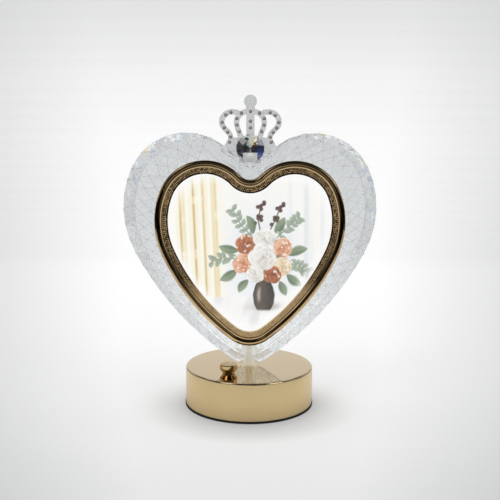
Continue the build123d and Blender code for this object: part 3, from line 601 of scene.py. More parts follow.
def small_stones():
    """Smoky stones with a painted sparkle on the facets that face the upper left and on the table facing the front,
    each stone in its own measure.
    """
    finish = Finish("smoky_stones", Roughness=0.05, Coat_Weight=1.0, Coat_Roughness=0.03)
    across, depth, up = finish.axes(finish.geometry["True Normal"])
    # Painted sparkle: facets that lean to the upper left, and the table facing the front, are painted pale
    lean = finish.math("SUBTRACT", finish.times(up, 0.8), finish.times(across, 0.6))
    table = finish.span(depth, 0.3, 0.0, -0.99, -0.9)
    sparkle = finish.math("ADD", finish.span(lean, 0.0, 0.75, -0.45, 0.45), table)
    shade = finish.mix(sparkle, tint("stone"), tint("stone_painted_sparkle"))
    own = finish.span(finish.geometry["Random Per Island"], 0.0, 0.55)
    finish.set(Base_Color=finish.mix(own, shade, tint("stone")))
    finish.bump(finish.cells(2500.0)["Distance"], 0.3, 0.0002)
    return finish


def large_stone():
    """Foil-backed faceted stone: each facet gets its own colour, part tint and part painted reflection, with painted
    shade on random facets, most below the middle.
    """
    finish = Finish("foiled_stone", Roughness=0.04, Metallic=0.15, Coat_Weight=1.0, Coat_Roughness=0.02)
    low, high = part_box("crown_jewel")
    x, _, z = finish.axes(finish.vector("SUBTRACT", finish.place, tuple((low + high) / 2)))
    turn = finish.math("ARCTAN2", finish.times(x, -1.0), finish.times(z, -1.0))
    turn = finish.math("FRACT", finish.math("DIVIDE", turn, math.tau))
    shift, gloom, _ = finish.axes(finish.cells(380.0, 0.75, "CHEBYCHEV")["Color"])
    turn = finish.math("FRACT", finish.math("ADD", turn, finish.span(shift, -0.05, 0.05)))
    radius = finish.math("SQRT", finish.math("ADD", finish.times(x, x), finish.times(z, z)))
    kite = finish.math("PINGPONG", finish.times(turn, KITES), 0.5)
    radius = finish.math("ADD", radius, finish.span(kite, -KITE_REACH, KITE_REACH, 0.0, 0.5))
    outer = finish.ramp(turn, OUTER_FACETS, "CONSTANT")
    inner = finish.ramp(turn, INNER_FACETS, "CONSTANT")
    shade = finish.mix(finish.rise(radius, *KITE_RING), inner, outer)
    # Painted shade: random facets darkened towards near black, most below the middle
    gloom = finish.times(finish.span(gloom, 0.0, 0.9), finish.span(z, 1.0, 0.4, 0.0, 0.006))
    shade = finish.mix(gloom, shade, srgb(38, 38, 42))
    # Painted pale reflection on the bottom facet
    pale = finish.times(finish.fall(z, *PALE_FACET_TOP), finish.fall(finish.math("ABSOLUTE", x), *PALE_FACET_HALF))
    finish.set(Base_Color=finish.mix(pale, shade, srgb(246, 248, 249)))
    finish.bump(finish.noise(900.0), 0.03, 0.0002)
    return finish


# Bezel

# Depth of the thin ridge between the bezel's moulding and its band, in metres
RIDGE_FACE = (BEZEL_FACE - 1.4) * MM

# Beads: sides, rings by width and depth as shares of the radius, range of sizes, how far they stray in millimetres,
# and the step from row to row as a share of the pitch
BEAD_SEED = 11
BEAD_SIDES = 7
BEAD_RINGS = ((0.75, 0.25), (0.98, -0.3), (0.62, -0.82))
BEAD_SIZES = (0.66, 1.08)
BEAD_STRAY = 0.12
BEAD_ROW_STEP = 0.87


class HEARTLAMP_OT_bezel(bpy.types.Operator):
    """Plate the bezel and lay rows of small beads along its sunken band"""

    bl_idname = "heartlamp.bezel"
    bl_label = "Bezel and beads"

    def execute(self, context):
        dress(gilt_plating(), "front_bezel")
        beads = bead_band()
        beads.data.materials.append(bead_gilt().material)
        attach(beads, "bezel")
        return {"FINISHED"}


def gilt_plating():
    """Gold plating of the bezel: polished, with painted shade where the moulding faces inward or upward, and satin with
    a painted highlight on the ridge round the lobes.
    """
    finish = Finish("gilt_plating")
    low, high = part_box("front_bezel")
    inward = finish.vector("NORMALIZE", finish.vector("SUBTRACT", tuple((low + high) / 2), finish.place))
    lean = finish.vector("DOT_PRODUCT", inward, finish.geometry["Normal"])
    # Painted shade: the moulding is painted dark where it faces inward or upward
    slope = finish.math("MAXIMUM", finish.span(lean, 0.0, 0.9, 0.04, 0.3),
                        finish.span(finish.facing(UP), 0.0, 0.8, 0.2, 0.5))
    depth = finish.at(DEEP)
    moulding = finish.fall(depth, RIDGE_FACE - 0.0002, RIDGE_FACE - 0.0001)
    ridge = finish.math("SUBTRACT", finish.fall(depth, RIDGE_FACE + 0.0001, RIDGE_FACE + 0.0003), moulding)
    # The ridge round the lobes, high up: satin, and painted pale gold as a highlight
    ridge = finish.times(ridge, finish.rise(finish.at(UP), 0.1, 0.15))
    shade = finish.mix(ridge, finish.cloudy(70.0, tint("gilt"), tint("gilt_deep")), srgb(255, 226, 172))
    finish.set(Base_Color=finish.mix(finish.times(moulding, slope), shade, srgb(44, 34, 22)))
    finish.set(Roughness=finish.between(ridge, finish.drift(120.0, 0.06, 0.13), 0.42))
    finish.set(Metallic=finish.span(ridge, 1.0, 0.2))
    finish.bump(finish.noise(1500.0, 2.0), 0.05, 0.0001)
    return finish


def bead_gilt():
    """Gold of the beads on their tops, with painted shade in the gaps and painted shade deepening towards the tip,
    dulled at random.
    """
    finish = Finish("bead_gilt", Metallic=0.3)
    # Painted shade in the gaps between the bead tops, with random dulling by wear
    top = finish.fall(finish.at(DEEP), (BEZEL_FACE - 0.46) * MM, (BEZEL_FACE - 0.1) * MM)
    painted_shade_and_wear = finish.times(top, finish.drift(500.0, 0.6, 1.0))
    # Painted shade: the beads darker towards the tip
    gold = finish.mix(finish.rise(finish.at(UP), 0.08, 0.16), tint("bead", 0.72), tint("bead"))
    finish.set(Base_Color=finish.mix(painted_shade_and_wear, tint("bead_deep"), gold), Roughness=finish.drift(300.0, 0.2, 0.34))
    finish.bump(finish.noise(2600.0, 2.0), 0.08, 0.0001)
    return finish


def bead_band():
    """Beads in offset rows, half sunk in the band, no two quite alike."""
    draw = random.Random(BEAD_SEED)
    corners = range(BEAD_SIDES)
    ring = [(math.cos(math.tau * k / BEAD_SIDES), math.sin(math.tau * k / BEAD_SIDES)) for k in corners]
    vertices, faces = [], []
    pitch, radius = sizes().bead_pitch / MM, sizes().bead_radius / MM
    for row in range(sizes().bead_rows):
        grow = -sizes().bead_inset / MM - row * pitch * BEAD_ROW_STEP
        count = int(heart_girth(grow) / pitch)
        for x, z in heart_line(grow, 2 * count)[row % 2::2]:
            size = radius * draw.uniform(*BEAD_SIZES)
            x += draw.uniform(-BEAD_STRAY, BEAD_STRAY)
            z += draw.uniform(-BEAD_STRAY, BEAD_STRAY)
            start = len(vertices)
            for width, depth in BEAD_RINGS:
                for across, up in ring:
                    vertices.append((x + size * width * across, BEZEL_FACE + size * depth, z + size * width * up))
            vertices.append((x, BEZEL_FACE - size, z))
            faces.append([start + k for k in corners])
            lower, upper = start, start + BEAD_SIDES
            while upper < len(vertices) - 1:
                faces += [(lower + (k + 1) % BEAD_SIDES, lower + k, upper + k, upper + (k + 1) % BEAD_SIDES)
                          for k in corners]
                lower, upper = upper, upper + BEAD_SIDES
            faces += [(lower + (k + 1) % BEAD_SIDES, lower + k, upper) for k in corners]
    return mesh_piece("bezel_beads", vertices, faces, smooth=True)


# Print, window and diffuser

PRINT_CENTRE = (0.0, 118.0)
PRINT_BACK = 0.96


class HEARTLAMP_OT_print(bpy.types.Operator):
    """Make the glowing print with its still life, and finish the window and the diffuser"""

    bl_idname = "heartlamp.print"
    bl_label = "Print and window"

    def execute(self, context):
        sheet = print_sheet()
        sheet.data.materials.append(lit_print().material)
        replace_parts(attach(sheet, "frame"), "photo_print")
        pane = Finish("clear_window", Transmission_Weight=1.0, IOR=1.3, Base_Color=WHITE)
        pane.set(Roughness=pane.drift(60.0, 0.0, 0.02))
        dress(pane, "photo_window")
        pass_light(NODES["photo_window"])
        dress(plastic("opal_sheet", srgb(250, 250, 246), (0.4, 0.5)), "diffuser")
        return {"FINISHED"}


def lit_print():
    """Translucent print that glows in the colours of its picture."""
    finish = Finish("translucent_print", Roughness=0.45)
    ink = finish.add("Attribute", attribute_name="ink").outputs["Color"]
    grain = finish.mix(finish.drift(1500.0, 0.0, 0.05), ink, srgb(255, 250, 240))
    finish.set(Base_Color=finish.mix(0.93, grain, BLACK), Emission_Color=grain, Emission_Strength=0.92)
    finish.bump(finish.noise(3000.0, 2.0), 0.05, 0.0001)
    return finish


def print_sheet():
    """Thin heart sheet: a front of rings painted point by point, an edge and a back."""
    spokes, rings = sizes().print_spokes, sizes().print_rings
    low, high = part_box("photo_print")
    edge = np.array(heart_line(-sizes().print_inset / MM, spokes))
    centre = np.array(PRINT_CENTRE)
    reach = np.linspace(0.0, 1.0, rings + 1)[1:]
    plan = (centre + reach[:, None, None] * (edge - centre)).reshape(-1, 2)
    plan = np.vstack([plan, centre])
    front, back = low.y / MM, high.y / MM
    vertices = [(x, front, z) for x, z in plan] + [(x, back, z) for x, z in edge]
    hub = rings * spokes
    faces = []
    for k in range(spokes):
        n = (k + 1) % spokes
        faces.append((hub, k, n))
        for r in range(rings - 1):
            a, b = r * spokes, (r + 1) * spokes
            faces.append((a + k, b + k, b + n, a + n))
        rim = (rings - 1) * spokes
        faces.append((rim + k, hub + 1 + k, hub + 1 + n, rim + n))
    faces.append([hub + 1 + k for k in range(spokes)][::-1])
    sheet = mesh_piece("print_sheet", vertices, faces)
    halo = np.concatenate([np.repeat(reach, spokes), [0.0]])
    ink = paint_still_life(plan[:, 0], plan[:, 1], halo)
    ink = np.vstack([ink, np.full((spokes, 3), PRINT_BACK)])
    ink = np.where(ink <= 0.04045, ink / 12.92, ((ink + 0.055) / 1.055) ** 2.4)
    layer = sheet.data.attributes.new("ink", "FLOAT_COLOR", "POINT")
    layer.data.foreach_set("color", np.hstack([ink, np.ones((len(ink), 1))]).astype(np.float32).ravel())
    return sheet


def ease(low, high, value):
    """Smooth step from 0 at low to 1 at high."""
    t = np.clip((value - low) / (high - low), 0.0, 1.0)
    return t * t * (3.0 - 2.0 * t)


class Painting:
    """Soft layers of colour over the print's points."""

    def __init__(self, x, z):
        self.x, self.z = x, z
        self.rgb = np.ones((len(x), 3))

    def lay(self, shade, mask):
        """Covers what is there with a colour, or a colour per point, through a mask."""
        shade = np.asarray(shade, float)
        shade = shade / 255.0 if shade.max() > 1.5 else shade
        self.rgb += (shade - self.rgb) * np.clip(mask, 0.0, 1.0)[:, None]

    def distance(self, cx, cz):
        """Distance from a point."""
        return np.hypot(self.x - cx, self.z - cz)

    def shaded(self, light, dark, lit, mask):
        """Covers with a colour that runs from dark to light."""
        lit = np.clip(lit, 0.0, 1.0)[:, None]
        self.lay(np.asarray(dark) / 255.0 * (1 - lit) + np.asarray(light) / 255.0 * lit, mask)

    def along(self, cx, cz, reach, width, turn):
        """Distance along and across a leaf or petal, as shares of its length and half width."""
        c, s = math.cos(turn), math.sin(turn)
        dx, dz = self.x - cx, self.z - cz
        return (dx * c + dz * s) / reach, (dz * c - dx * s) / width

    def rose(self, cx, cz, size, light, dark, turn):
        """Open rose: rings of petals, each pale at its lip and deep at its root, under light from the upper left."""
        fall = 0.16 * ((self.z - cz) - 0.6 * (self.x - cx)) / size
        for reach, count, spread in ROSE_RINGS:
            for k in range(count):
                angle = turn + math.tau * (k + 0.37 * reach * 7) / count + 0.25 * math.sin(3.1 * k + cx)
                far = size * reach * (1.0 + 0.09 * math.sin(5.3 * k + cz))
                u, v = self.along(cx, cz, far, size * spread, angle)
                edge = np.hypot((u - 0.52) / 0.48, v)
                lit = 0.06 + 0.85 * u ** 2 + 0.25 * (u > 0.9) + 0.18 * v + fall
                self.shaded(light, dark, lit, ease(1.0, 0.84, edge) * (u > 0))

    def leaf(self, cx, cz, reach, width, turn, light, dark):
        """Pointed leaf with a bend of its own, shaded across and along, with a faint midrib."""
        u, v = self.along(cx, cz, reach, width, math.radians(turn))
        v = v - 0.5 * np.sin(u * 2.4) * math.sin(turn)
        inside = ease(1.0, 0.6, np.abs(v) / np.clip(np.sin(np.clip(u, 0.001, 1.0) * math.pi) ** 0.8, 0.02, 1.0))
        inside = inside * (u > 0.0) * (u < 1.0)
        self.shaded(light, dark, 0.15 + 0.5 * u + 0.35 * v, inside * 0.95)
        self.lay(light, inside * ease(0.2, 0.0, np.abs(v)) * 0.35)

    def sprig(self, points, light, dark, size):
        """Twig with small round leaves in pairs."""
        self.stroke(points, 0.55, dark, 0.8)
        for (x0, z0), (x1, z1) in zip(points, points[1:]):
            way = math.degrees(math.atan2(z1 - z0, x1 - x0))
            for step in (0.15, 0.5, 0.85):
                x, z = x0 + (x1 - x0) * step, z0 + (z1 - z0) * step
                for side in (-1, 1):
                    self.leaf(x, z, size, size * 0.36, way + side * (52 + 9 * step), light, dark)

    def stroke(self, points, width, shade, weight):
        """Line through points."""
        for (x0, z0), (x1, z1) in zip(points, points[1:]):
            run = np.array((x1 - x0, z1 - z0))
            along = np.clip(((self.x - x0) * run[0] + (self.z - z0) * run[1]) / (run @ run), 0.0, 1.0)
            away = np.hypot(self.x - x0 - along * run[0], self.z - z0 - along * run[1])
            self.lay(shade, weight * ease(width, width * 0.5, away))


# Rings of petals of a rose: their reach, their number and their spread, the sizes as shares of the rose's
ROSE_RINGS = ((1.06, 6, 0.62), (0.86, 5, 0.6), (0.66, 5, 0.5), (0.47, 4, 0.42), (0.29, 3, 0.3))

# Light and dark shade of each flower and leaf
WHITE_ROSE = ((255, 254, 252), (206, 200, 192))
CREAM_ROSE = ((255, 246, 226), (208, 178, 132))
PEACH_ROSE = ((250, 214, 186), (190, 112, 76))
RUST_ROSE = ((214, 138, 92), (116, 56, 34))
SAGE = ((168, 182, 152), (84, 104, 78))
GREY_LEAF = ((196, 206, 192), (126, 142, 122))

# The bunch, in millimetres of the frame: roses by place, size, shades and turn, leaves by place, length, half width
# and direction, sprigs and twigs by the points that they run through
ROSES = ((24.0, 106.5, 7.2, CREAM_ROSE, 1.9), (-4.5, 109.0, 7.6, PEACH_ROSE, 0.3), (-3.0, 122.5, 7.0, RUST_ROSE, 4.1),
         (24.0, 121.0, 7.4, PEACH_ROSE, 0.9), (10.5, 127.0, 8.4, WHITE_ROSE, 2.6), (4.0, 101.0, 6.8, WHITE_ROSE, 5.2),
         (16.5, 101.0, 6.6, RUST_ROSE, 3.3), (10.0, 113.5, 10.2, WHITE_ROSE, 1.2))
LEAVES = ((-9.0, 104.0, 15.0, 4.2, 208), (27.0, 101.0, 14.0, 4.0, -34), (-8.0, 118.0, 15.0, 4.0, 164),
          (28.0, 115.0, 15.0, 4.2, 14), (3.0, 131.0, 14.0, 3.8, 118), (18.0, 131.0, 14.0, 3.8, 60),
          (22.0, 96.0, 12.0, 3.6, -66), (-1.0, 97.0, 12.0, 3.6, 238))
SPRIGS = (((2.0, 128.0), (-7.0, 138.0), (-13.0, 149.0)), ((20.0, 128.0), (29.0, 137.0), (36.0, 143.0)),
          ((-8.0, 112.0), (-19.0, 113.0), (-28.0, 110.0)), ((28.0, 109.0), (37.0, 107.0), (43.0, 102.0)))
TWIGS = (((8.0, 130.0), (6.0, 141.0), (8.0, 151.0)), ((13.0, 130.0), (18.0, 140.0), (22.0, 150.0)))

# Soft lights on the curtain and small blossoms round the bunch: seed and number
SPARKS = (5, 16)
BLOSSOMS = (8, 46)


def paint_backdrop(art, x, z):
    """Backlit window, out of focus: sheer folds to the right, a pale gold curtain to the left."""
    art.lay((251, 250, 246), np.ones(len(x)))
    art.lay((226, 233, 242), 0.85 * np.exp(-((x - 8.0) / 26.0) ** 2 - ((z - 112.0) / 34.0) ** 2))
    sheer = np.sin(0.5 * x + 0.6 * np.sin(0.04 * z)) + 0.5 * np.sin(1.1 * x + 1.0)
    art.lay((206, 216, 226), 0.4 * ease(22.0, 38.0, x) * ease(-0.4, 1.4, sheer) * ease(80.0, 100.0, z))
    hang = x + 0.04 * (z - 118.0)
    drape = ease(-16.0, -24.0, hang)
    fold = np.sin(0.74 * hang + 0.9 * np.sin(0.19 * hang)) + 0.4 * np.sin(1.9 * hang + 0.01 * z)
    art.lay((250, 244, 222), 0.95 * drape)
    art.lay((226, 204, 150), 0.85 * drape * ease(0.1, 1.3, fold))
    art.lay((190, 152, 92), 0.6 * drape * ease(1.0, 1.4, fold))
    art.lay((255, 254, 246), 0.85 * drape * ease(0.2, 1.2, -fold))
    seed, count = SPARKS
    draw = random.Random(seed)
    for _ in range(count):
        reach = art.distance(draw.uniform(-48.0, -8.0), draw.uniform(104.0, 158.0))
        size = draw.uniform(1.6, 4.2)
        art.lay((255, 252, 236), draw.uniform(0.2, 0.5) * ease(size, size * 0.7, reach))


def paint_table(art, x, z):
    """White cloth in soft folds with a dark vase on it."""
    cloth = ease(86.5, 82.5, z + 0.0012 * (x - 8.0) ** 2)
    art.lay((250, 249, 247), cloth)
    crease = np.sin(0.24 * x + 1.1 * np.sin(0.11 * z)) + 0.5 * np.sin(0.55 * x - 0.2 * z)
    art.lay((214, 216, 220), 0.55 * cloth * ease(-0.2, 1.3, crease))
    art.lay((150, 140, 132), 0.6 * cloth * np.exp(-((x - 16.0) / 14.0) ** 2 - ((z - 76.5) / 2.8) ** 2))
    half = np.interp(z, (74.0, 75.0, 79.0, 86.0, 92.0, 97.0, 101.0), (4.6, 5.6, 7.6, 8.4, 6.8, 4.4, 5.4))
    across = (x - 10.5) / half
    vase = ease(1.0, 0.9, np.abs(across)) * ease(73.4, 75.0, z) * ease(102.0, 100.0, z)
    round_shade = np.sqrt(np.clip(1.0 - across ** 2, 0.0, 1.0))
    art.shaded((96, 84, 72), (30, 26, 24), round_shade * (0.75 - 0.45 * across), vase)
    shine = np.exp(-((across + 0.45) / 0.16) ** 2) * ease(78.0, 84.0, z) * ease(94.0, 88.0, z)
    art.lay((214, 204, 190), 0.75 * vase * shine)
    art.lay((140, 128, 112), 0.5 * vase * ease(0.82, 0.95, across))


def paint_still_life(x, z, halo):
    """Roses in a dark vase on a white cloth, in front of a backlit window."""
    art = Painting(x, z)
    paint_backdrop(art, x, z)
    paint_table(art, x, z)
    for twig in TWIGS:
        art.stroke(twig, 0.6, (96, 70, 52), 0.9)
        for k, (bx, bz) in enumerate(twig[1:]):
            for step in range(5):
                reach = art.distance(bx + 2.6 * math.sin(2.1 * step + k), bz + 2.6 * math.cos(1.7 * step + k))
                art.lay((58, 36, 30), ease(1.7, 1.0, reach))
                art.lay((150, 104, 84), 0.7 * ease(0.9, 0.2, reach))
    for sprig in SPRIGS:
        art.sprig(sprig, *GREY_LEAF, 5.6)
    for place in LEAVES:
        art.leaf(*place, *SAGE)
    reach = art.distance(10.0, 113.0)
    art.lay((96, 98, 84), 0.8 * ease(19.0, 12.0, reach))
    for cx, cz, size, (light, dark), turn in ROSES:
        art.rose(cx, cz, size, light, dark, turn)
    seed, count = BLOSSOMS
    draw = random.Random(seed)
    for _ in range(count):
        angle, far = draw.uniform(0.0, math.tau), draw.uniform(13.0, 24.0)
        reach = art.distance(10.0 + far * math.cos(angle), 114.0 + 0.85 * far * math.sin(angle))
        art.lay((255, 254, 250), draw.uniform(0.6, 0.95) * ease(draw.uniform(0.9, 1.5), 0.3, reach))
    art.lay((255, 255, 254), ease(0.80, 0.97, halo))
    return art.rgb


# Base and insides


class HEARTLAMP_OT_base(bpy.types.Operator):
    """Finish the gold drum, the dimmer knob, the foot and the charging inlet"""

    bl_idname = "heartlamp.base"
    bl_label = "Base and knob"

    def execute(self, context):
        dress(drum_gold(), "base_shell")
        dress(metal("knob_gold", tint("knob"), tint("knob", 0.85), (0.06, 0.12), 2000.0, 0.04), "dimmer_knob")
        dress(plastic("black_rubber", srgb(9, 9, 9), (0.7, 0.85), 1600.0, 0.2), "foot_pad")
        dress(plastic("black_plastic", srgb(38, 38, 39), (0.5, 0.62), 1100.0, 0.15), "base_plate", "battery_cradle")
        dress(metal("bright_steel", srgb(214, 214, 217), srgb(180, 181, 185), (0.2, 0.32), 1800.0, 0.05),
              "base_screws", "board_screws", "charge_screws", "usb_socket", "rear_cover_screws")
        dress(metal("turned_shaft", srgb(216, 216, 219), srgb(190, 190, 194), (0.22, 0.3), 1500.0, 0.06),
              "dimmer_shaft")
        dress(plastic("dark_plastic", srgb(60, 60, 62), (0.45, 0.6)), "dimmer_body")
        return {"FINISHED"}


def drum_gold():
    """Gold of the drum: satin side, mirror top."""
    finish = Finish("drum_gold", Metallic=1.0)
    top = finish.rise(finish.facing(UP), 0.1, 0.25)
    side = finish.mix(finish.noise(40.0), tint("gold"), tint("gold", 0.95))
    finish.set(Base_Color=finish.mix(top, side, tint("gold_top")))
    satin = finish.drift(40.0, 0.28, 0.33, stretch=(1.0, 1.0, 4.0))
    finish.set(Roughness=finish.between(top, satin, finish.drift(80.0, 0.02, 0.05)))
    finish.bump(finish.noise(260.0, 1.0), 0.004, 0.0001)
    return finish


class HEARTLAMP_OT_insides(bpy.types.Operator):
    """Finish the light box, rear cover, boards, cell, ballast, tube and leads"""

    bl_idname = "heartlamp.insides"
    bl_label = "Light box and insides"

    def execute(self, context):
        dress(plastic("white_plastic", tint("white"), (0.4, 0.55)), "rear_cover")
        glowing = plastic("glowing_plastic", tint("white"), (0.4, 0.55))
        glow = glowing.mix(glowing.noise(45.0), srgb(255, 252, 246), srgb(246, 246, 244))
        glowing.set(Emission_Color=glow, Emission_Strength=0.12)
        dress(glowing, "light_box")
        dress(plastic("white_board", srgb(236, 239, 235), (0.3, 0.4), 700.0, 0.1),
              "led_board", "control_board", "charge_board")
        lamp = plastic("lamp_phosphor", srgb(255, 244, 200), (0.15, 0.25))
        lamp.set(Emission_Color=srgb(255, 246, 226), Emission_Strength=1.0)
        dress(lamp, "leds")
        brass = metal("pale_brass", srgb(250, 236, 204), srgb(242, 222, 180), (0.4, 0.55), 1400.0, 0.06)
        brass.set(Metallic=0.1)
        dress(brass, "stem_tube", "tube_nuts", "tube_washers")
        dress(metal("cast_iron", srgb(112, 112, 115), srgb(70, 68, 68), (0.5, 0.7), 800.0, 0.4), "ballast")
        dress(plastic("cell_wrap", srgb(60, 118, 186), (0.2, 0.3), 300.0, 0.05), "battery")
        dress(plastic("lead_sleeve", srgb(236, 235, 230), (0.4, 0.5)), "led_lead", "battery_lead", "link_lead")
        return {"FINISHED"}


# Stage

# Sweep in metres: front edge, start, radius and steps of the bend, top edge and half width
SWEEP_FRONT = -0.5
SWEEP_BEND = 0.75
SWEEP_RADIUS = 0.6
SWEEP_STEPS = 24
SWEEP_TOP = 0.8
SWEEP_HALF = 0.75

# Painted pool of light along the sweep's middle: two half widths and where along the sweep it has them, in metres from
# the lamp, first for the whole length and then for the narrower end before the lamp
POOL_HALF = (0.175, 0.71, 0.0, 2.0)
POOL_NEAR = (0.095, 0.8, -0.16, 1.5)
# How pale it is from its middle out, by shares of twice the half width, and along this way, by shares of it
POOL_SIDE = [(0.0, 1.0), (0.3, 1.0), (0.5, 0.62), (0.75, 0.15), (1.0, 0.0)]
POOL_WAY = (-0.5, 2.5)
POOL_ENDS = [(0.0, 0.3), (0.117, 0.55), (0.14, 0.78), (0.2, 1.0), (0.633, 1.0), (0.72, 0.86), (0.8, 0.52), (0.9, 0.1)]

# Painted soft shadow where the lamp stands on the paper, from ambient occlusion: its reach in metres, its depth and the
# direction it is taken from
CONTACT_REACH = 0.036
CONTACT_DEPTH = 0.54
CONTACT_LEAN = {"Y": 0.6, "Z": 0.8}

# Glow of the paper under the lamp and at the back, and the depths where it starts and ends to change, in metres
PAPER_GLOW = (0.33, 0.46, 0.1, 0.6)

# Brightness of the room in mirrors by the height of the look: a pale band over the horizon, dim above and below,
# and how much of the band is left by the depth of the look, from the front (0) to the back (1)
ROOM_BAND = [(0.0, 0.03), (0.12, 0.03), (0.2, 0.6), (0.45, 0.6), (0.6, 0.05), (1.0, 0.05)]
ROOM_DEPTH = [(0.0, 0.16), (0.25, 0.16), (0.45, 1.0), (1.0, 1.0)]
# Brightness of the room for matt surfaces and through glass
ROOM_FILL = (0.75, 0.75, 0.75)
ROOM_CLEAR = (0.9, 0.9, 0.9)

# Soft lights: place, target and side in metres, and watts
KEY_LIGHT = ((-0.75, -0.7, 1.15), (0.0, 0.0, 0.12), 0.55, 2.6)
FILL_LIGHT = ((0.85, -0.55, 0.8), (0.0, 0.0, 0.12), 0.5, 1.5)
TOP_LIGHT = ((0.0, 0.2, 1.2), (0.0, 0.0, 0.0), 0.9, 3.2)
CLEAR_BOUNCES = 24
MIRROR_BOUNCES = 16

CAMERA_PLACE = (0.0002, -0.542, 0.1931)
CAMERA_PITCH = 82.0
CAMERA_ROLL = 0.3
CAMERA_LENS = 52.81
CAMERA_SENSOR = 36.0
CAMERA_CLIP = (0.01, 20.0)


class HEARTLAMP_OT_stage(bpy.types.Operator):
    """Set up the sweep, the soft lights, the room and the camera"""

    bl_idname = "heartlamp.stage"
    bl_label = "Stage"

    def execute(self, context):
        scene = context.scene
        scene.view_settings.view_transform = "Standard"
        scene.cycles.max_bounces = scene.cycles.transmission_bounces = CLEAR_BOUNCES
        scene.cycles.glossy_bounces = MIRROR_BOUNCES
        sweep()
        soft_box("key_light", *KEY_LIGHT)
        soft_box("fill_light", *FILL_LIGHT)
        soft_box("top_light", *TOP_LIGHT).visible_glossy = False
        room(scene)
        camera = bpy.data.objects.new("camera", bpy.data.cameras.new("camera"))
        scene.collection.objects.link(camera)
        camera.data.lens = CAMERA_LENS
        camera.data.sensor_width = CAMERA_SENSOR
        camera.data.clip_start, camera.data.clip_end = CAMERA_CLIP
        camera.matrix_world = (Matrix.Translation(CAMERA_PLACE) @ Matrix.Rotation(math.radians(CAMERA_PITCH), 4, "X")
                               @ Matrix.Rotation(math.radians(CAMERA_ROLL), 4, "Z"))
        scene.camera = camera
        return {"FINISHED"}


def sweep():
    """Seamless floor that bends up into a backdrop, with a painted pool of light round the lamp."""
    profile = [(SWEEP_FRONT, 0.0), (0.0, 0.0), (SWEEP_BEND, 0.0)]
    for k in range(1, SWEEP_STEPS + 1):
        a = math.pi / 2 * k / SWEEP_STEPS
        profile.append((SWEEP_BEND + SWEEP_RADIUS * math.sin(a), SWEEP_RADIUS * (1 - math.cos(a))))
    profile.append((SWEEP_BEND + SWEEP_RADIUS, SWEEP_TOP))
    columns = (-SWEEP_HALF, 0.0, SWEEP_HALF)
    vertices = [(x / MM, y / MM, z / MM) for y, z in profile for x in columns]
    faces = [(3 * i + c, 3 * i + c + 1, 3 * i + c + 4, 3 * i + c + 3) for i in range(len(profile) - 1) for c in (0, 1)]
    floor = mesh_piece("sweep", vertices, faces, smooth=True)
    floor.data.materials.append(sweep_paper().material)
    return floor


def sweep_paper():
    """Paper of the sweep: a painted pool of light round the lamp, a painted soft shadow under it, and a glow where it
    is seen.
    """
    finish = Finish("paper_sweep", Roughness=0.9, Specular_IOR_Level=0.1)
    across, back, up = finish.axes(finish.place)
    along = finish.math("ADD", back, up)
    half = finish.math("MINIMUM", finish.span(along, *POOL_HALF), finish.span(along, *POOL_NEAR))
    side = finish.math("DIVIDE", finish.math("ABSOLUTE", across), half)
    near, far = tint("floor"), tint("floor_edge")
    shade = finish.mix(finish.ramp(finish.times(side, 0.5), POOL_SIDE), far, near)
    shade = finish.mix(finish.ramp(finish.rise(along, *POOL_WAY), POOL_ENDS), far, shade)
    shade = finish.mix(finish.span(finish.noise(8.0), 0.0, 0.02), shade, far)
    # Painted contact shadow: the paper darkened where ambient occlusion finds the lamp close by
    lean = finish.add("CombineXYZ", CONTACT_LEAN).outputs[0]
    close = finish.add("AmbientOcclusion", {"Distance": CONTACT_REACH, "Normal": lean}, samples=8).outputs["AO"]
    shade = finish.mix(finish.span(close, CONTACT_DEPTH, 0.0), shade, BLACK)
    ray = finish.add("LightPath").outputs
    seen = finish.math("MAXIMUM", ray["Is Glossy Ray"], ray["Is Transmission Ray"])
    seen = finish.math("MAXIMUM", seen, ray["Is Camera Ray"])
    finish.set(Base_Color=finish.mix(0.3, shade, BLACK), Emission_Color=shade)
    finish.set(Emission_Strength=finish.times(seen, finish.span(back, *PAPER_GLOW)))
    finish.bump(finish.noise(1200.0, 2.0), 0.02, 0.0001)
    return finish


def soft_box(name, place, target, side, watts):
    """Square soft light aimed at a point."""
    light = bpy.data.lights.new(name, "AREA")
    light.shape = "SQUARE"
    light.size = side
    light.energy = watts
    box = bpy.data.objects.new(name, light)
    bpy.context.scene.collection.objects.link(box)
    box.location = place
    box.rotation_euler = (Vector(target) - Vector(place)).to_track_quat("-Z", "Y").to_euler()
    return box


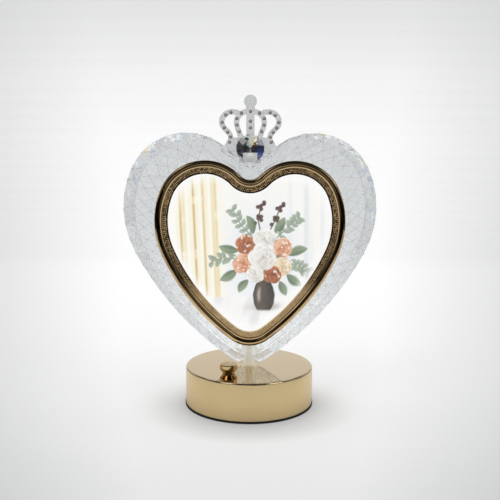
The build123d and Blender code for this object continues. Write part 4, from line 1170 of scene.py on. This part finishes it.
def room(scene):
    """World: even fill for matt surfaces, pale through glass, and in mirrors a studio that is dim in front."""
    world = bpy.data.worlds.new("studio")
    scene.world = world
    world.use_nodes = True
    world.cycles.sampling_method = "NONE"
    nodes = Nodes(world.node_tree)
    look = nodes.axes(nodes.add("TexCoord").outputs["Generated"])
    band = nodes.ramp(look[UP], ROOM_BAND)
    studio = nodes.mix(1.0, band, nodes.ramp(nodes.rise(look[DEEP], -1.0, 1.0), ROOM_DEPTH), "MULTIPLY")
    ray = nodes.add("LightPath").outputs
    seen = nodes.mix(ray["Is Glossy Ray"], ROOM_FILL, studio)
    seen = nodes.mix(ray["Is Transmission Ray"], seen, ROOM_CLEAR)
    back = nodes.add("Background", {"Color": seen})
    nodes.add("OutputWorld", {"Surface": back.outputs[0]})


# Sidebar and start

OPERATORS = (HEARTLAMP_OT_stage, HEARTLAMP_OT_clear_heart, HEARTLAMP_OT_stones, HEARTLAMP_OT_bezel,
             HEARTLAMP_OT_print, HEARTLAMP_OT_base, HEARTLAMP_OT_insides)


class HEARTLAMP_PT_sidebar(bpy.types.Panel):
    """Steps and settings of the heart photo lamp"""

    bl_idname = "HEARTLAMP_PT_sidebar"
    bl_label = "Heart lamp"
    bl_space_type = "VIEW_3D"
    bl_region_type = "UI"
    bl_category = "Heart lamp"

    def draw(self, context):
        for operator in OPERATORS:
            self.layout.operator(operator.bl_idname)
        for group in (context.scene.heart_lamp_sizes, context.scene.heart_lamp_colours):
            for name in group.__annotations__:
                self.layout.prop(group, name)


CLASSES = (HeartLampSizes, HeartLampColours, *OPERATORS, HEARTLAMP_PT_sidebar)


def register():
    """Adds the classes and their settings."""
    for cls in CLASSES:
        bpy.utils.register_class(cls)
    bpy.types.Scene.heart_lamp_sizes = PointerProperty(type=HeartLampSizes)
    bpy.types.Scene.heart_lamp_colours = PointerProperty(type=HeartLampColours)


def unregister():
    """Takes the classes and their settings away."""
    del bpy.types.Scene.heart_lamp_colours
    del bpy.types.Scene.heart_lamp_sizes
    for cls in reversed(CLASSES):
        bpy.utils.unregister_class(cls)


def main():
    """Registers the add-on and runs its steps."""
    register()
    bpy.ops.heartlamp.stage()
    bpy.ops.heartlamp.clear_heart()
    bpy.ops.heartlamp.stones()
    bpy.ops.heartlamp.bezel()
    bpy.ops.heartlamp.print()
    bpy.ops.heartlamp.base()
    bpy.ops.heartlamp.insides()


if __name__ == "__main__":
    main()
